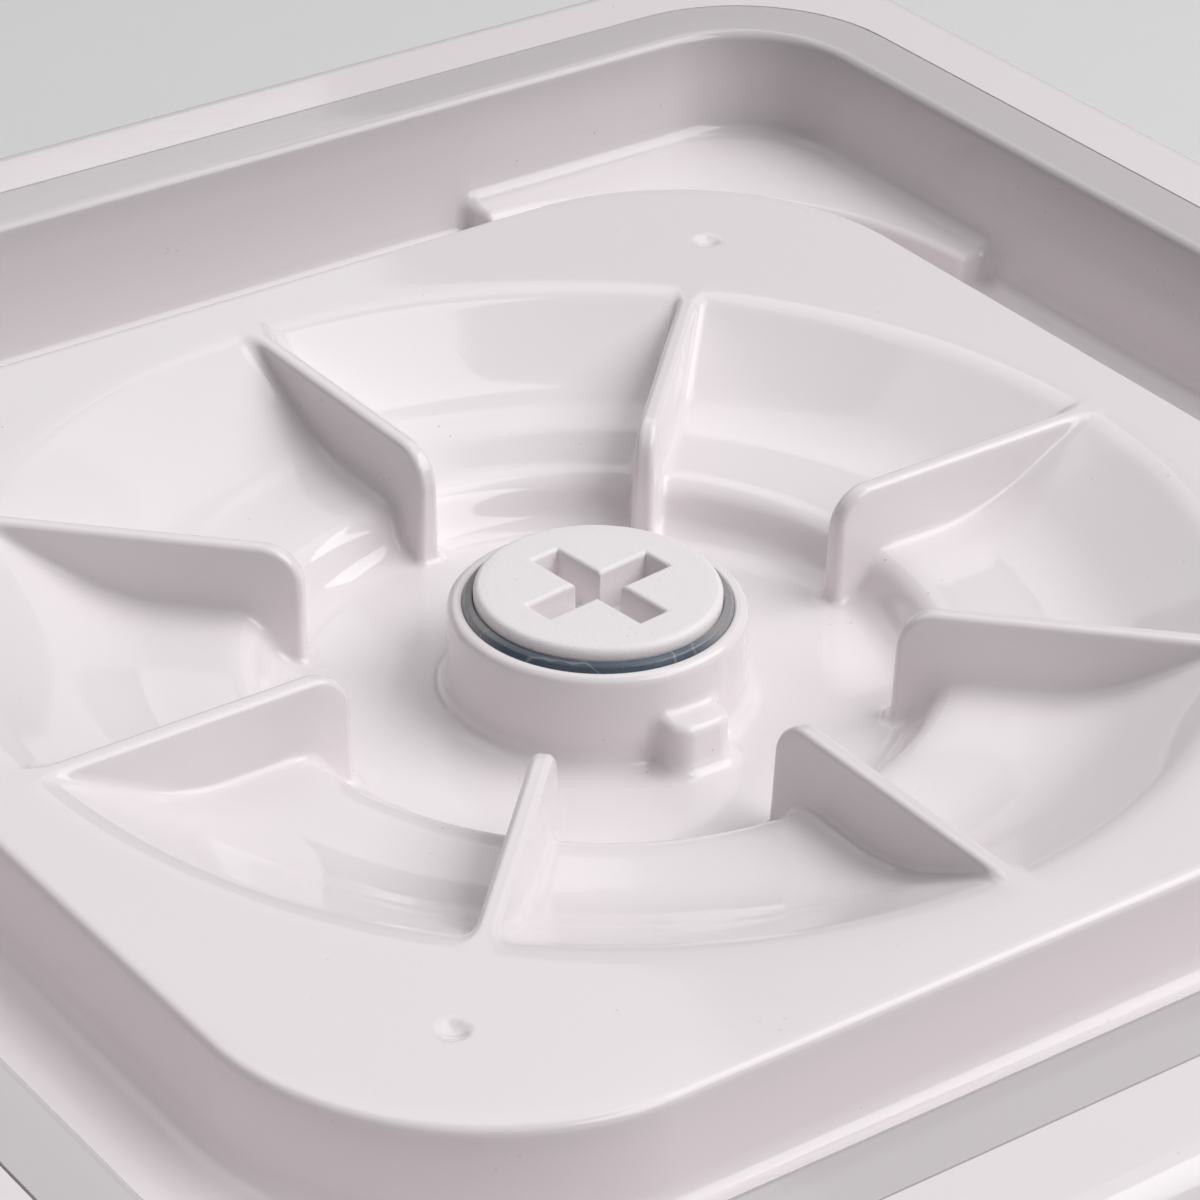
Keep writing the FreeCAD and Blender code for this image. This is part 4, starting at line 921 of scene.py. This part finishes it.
tone_group = make_tone()
fibres_group = make_fibres()
fade_group = make_fade()
specks_group = make_specks()
skin_group = make_skin()
fibre_grey = (0.55, 0.53, 0.53)
dust_brown = (0.30, 0.27, 0.26)


def finish_material(name, color, rough, metallic=0.0, tone=0.03, tone_scale=25.0, grain=0.15,
                    grain_scale=4000.0, wave=0.0, wave_scale=90.0, dust=0.0, rough_spread=0.05,
                    fibres=0.0, painted_reflection=None, painted_shade=None):
    """Material whose tone, roughness and relief all vary, with dust or fibres where asked for.

    The directional blend (direction, start, end, amount, colour) blends towards that colour along
    that direction; it paints a reflection. The blend by points (attribute, amount, colour) blends
    towards that colour by a value kept on the piece's points; it paints shade.
    """
    material = bpy.data.materials.new(name)
    material.use_nodes = True
    tree = material.node_tree
    shader = tree.nodes["Principled BSDF"]
    shader.inputs["Metallic"].default_value = metallic
    vector = tree.nodes.new("ShaderNodeTexCoord").outputs["Object"]
    surface = use(tree, tone_group, vector, Color=(*color, 1.0), Scale=tone_scale, Amount=tone)
    layers = []
    # Painted shade, by a value kept on the piece's points.
    if painted_shade:
        label, amount, shade = painted_shade
        share = add(tree, "ShaderNodeAttribute", {}, attribute_name=label).outputs["Fac"]
        layers.append((span(tree, share, 0.0, 1.0, 0.0, amount), shade))
    # Painted reflection, blended in along one direction.
    if painted_reflection:
        direction, low, high, amount, shade = painted_reflection
        mask = use(tree, fade_group, vector, Direction=direction, From=low, To=high, Amount=amount)
        layers.append((mask, shade))
    if fibres > 0:
        layers.append((use(tree, fibres_group, vector, Amount=fibres), fibre_grey))
    if dust > 0:
        layers.append((use(tree, specks_group, vector, Amount=dust), dust_brown))
    for mask, shade in layers:
        mix = add(tree, "ShaderNodeMix", {0: mask, 6: surface, 7: (*shade, 1.0)}, data_type="RGBA")
        surface = mix.outputs[2]
    tree.links.new(surface, shader.inputs["Base Color"])
    smear = noise(tree, vector, 60.0, Detail=4.0)
    roughness = span(tree, smear, 0.3, 0.7, rough - rough_spread, rough + rough_spread)
    tree.links.new(roughness, shader.inputs["Roughness"])
    relief = {"Grain": grain, "Grain Scale": grain_scale, "Wave": wave, "Wave Scale": wave_scale}
    tree.links.new(use(tree, skin_group, vector, **relief), shader.inputs["Normal"])
    return material


shell = dict(color=(0.83, 0.777, 0.797), rough=0.065, tone=0.012, wave=0.012, wave_scale=300.0,
             grain=0.03, grain_scale=2500.0, dust=0.45, rough_spread=0.015)
# Painted reflection: the seal is painted light grey on the side away from the camera, where its
# gloss would mirror the lit room.
seal_painted_reflection = ((0.594, 0.804, 0.0), -0.0004, 0.0055, 0.85, (0.33, 0.318, 0.325))
# Painted shade: the grey that the well's wall is darkened towards.
wall_shade_grey = (0.56, 0.522, 0.538)
finishes = {
    "white_shell": shell,
    "white_disc": dict(color=(0.86, 0.815, 0.83), rough=0.42, tone=0.02, grain=0.5,
                       grain_scale=5000.0, dust=0.5),
    "seal_rubber": dict(color=(0.085, 0.11, 0.145), rough=0.25, tone=0.5, tone_scale=300.0,
                        grain=0.3, fibres=0.3, painted_reflection=seal_painted_reflection),
    "grey_plastic": dict(color=(0.50, 0.50, 0.51), rough=0.5, grain=0.6, tone=0.05),
    "black_rubber": dict(color=(0.035, 0.035, 0.036), rough=0.75, grain=0.6, tone=0.2),
    "zinc_steel": dict(color=(0.60, 0.61, 0.62), rough=0.32, metallic=1.0, tone=0.12,
                       tone_scale=500.0),
    "steel": dict(color=(0.56, 0.56, 0.58), rough=0.25, metallic=1.0, tone=0.1, tone_scale=400.0),
    "nickel": dict(color=(0.70, 0.69, 0.66), rough=0.18, metallic=1.0, tone=0.06, tone_scale=400.0),
    "aluminium": dict(color=(0.70, 0.71, 0.73), rough=0.38, metallic=1.0, tone=0.08,
                      tone_scale=300.0),
    "brass": dict(color=(0.70, 0.52, 0.23), rough=0.28, metallic=1.0, tone=0.1, tone_scale=400.0),
    "gear_plastic": dict(color=(0.78, 0.77, 0.71), rough=0.45, tone=0.04),
    "black_plastic": dict(color=(0.028, 0.028, 0.032), rough=0.42, grain=0.5, tone=0.2),
    "display_glass": dict(color=(0.012, 0.014, 0.02), rough=0.06, grain=0.01, tone=0.3,
                          rough_spread=0.02),
    "knob_grey": dict(color=(0.16, 0.17, 0.185), rough=0.36, grain=0.3, tone=0.08),
    "button_grey": dict(color=(0.36, 0.37, 0.39), rough=0.4, grain=0.3, tone=0.06),
    "light_pipe": dict(color=(0.62, 0.72, 0.80), rough=0.3, tone=0.05, tone_scale=200.0),
    "board_green": dict(color=(0.02, 0.13, 0.05), rough=0.35, tone=0.25, tone_scale=120.0),
    "connector_white": dict(color=(0.74, 0.73, 0.68), rough=0.45, tone=0.04, tone_scale=200.0),
    "capacitor_sleeve": dict(color=(0.015, 0.02, 0.06), rough=0.3, tone=0.2, tone_scale=200.0),
}
materials = {name: finish_material(name, **finish) for name, finish in finishes.items()}
# The tub's moulding, with painted shade on the well's wall that is darkest at the rim.
tub_white = finish_material("tub_white", painted_shade=("wall_shade_share", 0.85, wall_shade_grey), **shell)

for row in frame["record"]["subparts"]:
    node = frame["nodes"][row["node"]]
    node.data.materials.clear()
    node.data.materials.append(materials[row["material_slot"]])


# ------------------------------------------------------------------ tub, disc and seal

deck_skin = Skin()
for grid, mirrored in recess_grids():
    deck_skin.add(grid, flip=mirrored)
for grid, mirrored in well_grids():
    deck_skin.add(grid, flip=not mirrored)
hub = hub_grid()
deck_skin.add(hub, closed=True)
deck_skin.add_faces(*ring_between(hub[0], recess_ring()))
deck = deck_skin.build("deck_moulding", tub_white)
places = np.empty(len(deck.data.vertices) * 3, dtype=np.float32)
deck.data.vertices.foreach_get("co", places)
places = places.reshape(-1, 3) / MM - drive_top
# Each point keeps its share of the wall's painted shade, for the material.
shares = deck.data.attributes.new("wall_shade_share", "FLOAT", "POINT")
shares.data.foreach_set("value", wall_shade_share(places[:, 0], places[:, 1], places[:, 2]))
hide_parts("well_tray", "deck_plate", "recess_ribs")

disc_skin = Skin()
for grid, mirrored in disc_grids():
    disc_skin.add(grid, flip=not mirrored)
disc_skin.add(disc_under(), closed=True, flip=True)
disc = disc_skin.build("drive_turntable", materials["white_disc"], "drive")
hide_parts("drive_disc")

shelf = disc_top - disc_thickness - seal_gap
seal = turned_piece("seal_ring", [
    (seal_in + seal_lip, shelf, 0), (seal_in + seal_lip, seal_foot, 0.1), (seal_in, seal_foot, 0.1),
    (seal_in, seal_top, 0.2), (seal_out - 0.3, seal_top - seal_drop * 0.55, 0.5),
    (seal_out, seal_top - seal_drop - 0.3, 0.1), (seal_out, shelf, 0),
    (seal_in + seal_lip, shelf, 0)], materials["seal_rubber"], "root", 256)
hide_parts("hub_seal")


# ------------------------------------------------------------------ knob, buttons and feet

joints = {row["name"]: row for row in frame["record"]["behaviour"]["joints"]}
panel_origin = np.array(joints["knob_turn"]["pos_m"]) / MM - drive_top
panel_out = np.array(joints["knob_turn"]["axis"], dtype=float)
panel_across = np.array([1.0, 0.0, 0.0])
panel_up = np.cross(panel_out, panel_across)


def on_panel(grid, across=0.0, up=0.0):
    """From (across, up, out) about the knob's axis on the panel to mm about the drive axis."""
    shifted = grid + np.array([across, up, 0.0])
    turn = np.stack([panel_across, panel_up, panel_out])
    return panel_origin + shifted @ turn


def knob_grid():
    """The knob: a turned run whose side is drawn in at each flute, its dished face grooved.

    The radius falls by the flute depth times ((1 + cos(flutes x angle)) / 2) cubed, fading out
    above the side. The face sinks by the dish times 1 - (r / face radius) squared, and by the
    pointer's depth within its half width.
    """
    even = np.linspace(0, 360, knob_flutes * 12, endpoint=False)
    near = 90 + np.linspace(-7, 7, 57)
    angles = np.radians(np.unique(np.concatenate([even[np.abs(even - 90) > 7], near])))
    run = np.array(rounded_run([
        (0, shaft_hole, 0), (shaft_hole_r, shaft_hole, 0.1), (shaft_hole_r, knob_hollow, 0.1),
        (knob_hollow_r, knob_hollow, 0.2), (knob_hollow_r, knob_low, 0.2), (knob_r, knob_low, 0.5),
        *((knob_r, z, 0) for z in (4.0, 6.0, 8.0, 8.6, 9.2, 9.8)), (knob_r, knob_high, 1.2),
        *((r, knob_high, 0) for r in np.linspace(knob_face_r, 0, 26))], 6))
    r = run[:, :1]
    z = run[:, 1:]
    flute = knob_flute * ((1 + np.cos(knob_flutes * angles)) / 2) ** 3
    on_side = (ease(r, 11.0, 12.3) * (1 - ease(z, 8.4, 9.9))
               * ease(z, knob_low - 0.01, knob_low + 0.01))
    drawn = r - flute * on_side
    x = drawn * np.cos(angles)
    y = drawn * np.sin(angles)
    on_face = ease(z, knob_high - 0.25, knob_high - 0.01)
    dish = knob_dish * (1 - (r / knob_face_r) ** 2).clip(0)
    groove = pointer_depth * (1 - ease(np.abs(x), pointer_half * 0.55, pointer_half))
    groove = groove * ease(y, pointer_start - 0.4, pointer_start)
    height = z - dish * on_face - groove * ease(z, knob_high - 1.3, knob_high - 0.6)
    return np.stack([x, y, np.broadcast_to(height, x.shape)], axis=-1)


knob_skin = Skin()
knob_skin.add(on_panel(knob_grid()), closed=True)
knob = knob_skin.build("panel_knob", materials["knob_grey"], "knob")
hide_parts("control_knob")

face_run = [(r, button_proud - button_dish * (1 - (r / button_face_r) ** 2), 0)
            for r in np.linspace(0, button_face_r, 10)]
for name, (across, up) in button_places.items():
    button = turned_piece(name + "_cap", face_run + [
        (button_r, button_proud, 0.7), (button_r, flange_top, 0), (button_flange, flange_top, 0.2),
        (button_flange, flange_low, 0.2), (stem_r, flange_low, 0.2), (stem_r, stem_end, 0.3),
        (0, stem_end, 0)],
        materials["button_grey"], name, 96, 6, lambda grid: on_panel(grid, across, up))
    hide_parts(name)

feet_low, feet_high = (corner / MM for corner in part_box("rubber_feet"))
feet_skin = Skin()
foot_grid = turned_grid(rounded_run([
    (0, foot_pad, 0), (foot_r - 0.4, foot_pad, 0.2), (foot_r, 0, 1.2), (foot_ring, 0, 0.3),
    (foot_hollow_r, foot_hollow, 0.3), (0, foot_hollow, 0)], 5), 96)
for x in (feet_low.x + foot_r, feet_high.x - foot_r):
    for y in (feet_low.y + foot_r, feet_high.y - foot_r):
        feet_skin.add(foot_grid + np.array([x, y - axis_y, -deck_z]), closed=True, flip=True)
feet = feet_skin.build("foot_pads", materials["black_rubber"])
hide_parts("rubber_feet")


# ------------------------------------------------------------------ camera, floor and light

def in_row(x, y, z):
    """From mm about the drive axis and the deck to metres in the row frame."""
    return Vector((x, y + axis_y, z + deck_z)) * MM


def aim(thing, place, target, roll=0.0):
    """Puts a camera or lamp in its place, looking at the target."""
    look = (target - place).to_track_quat("-Z", "Y").to_matrix()
    thing.location = place
    thing.rotation_euler = (look @ Matrix.Rotation(math.radians(roll), 3, "Z")).to_euler()


def area_light(name, azimuth, elevation, distance, width, height, power):
    """Oblong lamp that looks at the hub: degrees, metres and watts."""
    lamp = bpy.data.lights.new(name, "AREA")
    lamp.shape = "RECTANGLE"
    lamp.size = width
    lamp.size_y = height
    lamp.energy = power
    a, e = math.radians(azimuth), math.radians(elevation)
    way = Vector((math.cos(a) * math.cos(e), math.sin(a) * math.cos(e), math.sin(e)))
    target = in_row(0, 0, 0)
    aim(place_object(name, lamp), target + way * distance, target)


camera_data = bpy.data.cameras.new("camera")
camera_data.lens = 136.5
camera_data.sensor_width = 36.0
camera = place_object("camera", camera_data)
aim(camera, in_row(-254.5, -344.4, 251.0), in_row(-2.7, -4.0, 0), 1.289)
bpy.context.scene.camera = camera

floor_half = 4              # in metres
floor_mesh = bpy.data.meshes.new("floor")
floor_corners = [(x * floor_half, y * floor_half, 0)
                 for x, y in ((-1, -1), (1, -1), (1, 1), (-1, 1))]
floor_mesh.from_pydata(floor_corners, [], [(0, 1, 2, 3)])
floor = place_object("floor", floor_mesh)
floor_mesh.materials.append(finish_material("floor", (0.72, 0.72, 0.72), 0.8, tone=0.02,
                                            tone_scale=3.0, grain=0.0))

area_light("high box", 5.0, 68.0, 1.2, 0.6, 0.295, 1.05)
area_light("overhead", 0.0, 89.0, 1.3, 2.6, 2.6, 9.0)
area_light("near side", -45.0, 45.0, 1.3, 1.5, 0.9, 14.1)
area_light("far side", 90.0, 45.0, 1.3, 1.5, 0.9, 3.4)
area_light("right side", 0.0, 45.0, 1.3, 1.5, 0.9, 1.4)

# The world lights the object dimly, and the camera sees it as plain white.
world = bpy.data.worlds.new("world")
bpy.context.scene.world = world
world.use_nodes = True
sky = world.node_tree
dim = sky.nodes["Background"]
dim.inputs["Color"].default_value = (0.93, 0.95, 1.0, 1.0)
dim.inputs["Strength"].default_value = 0.034
white = add(sky, "ShaderNodeBackground", {"Color": (1.0, 1.0, 1.0, 1.0)})
seen = add(sky, "ShaderNodeLightPath", {})
choose = add(sky, "ShaderNodeMixShader", {
    "Fac": seen.outputs["Is Camera Ray"], 1: dim.outputs["Background"],
    2: white.outputs["Background"]})
sky.links.new(choose.outputs["Shader"], sky.nodes["World Output"].inputs["Surface"])

bpy.context.scene.view_settings.view_transform = "Standard"
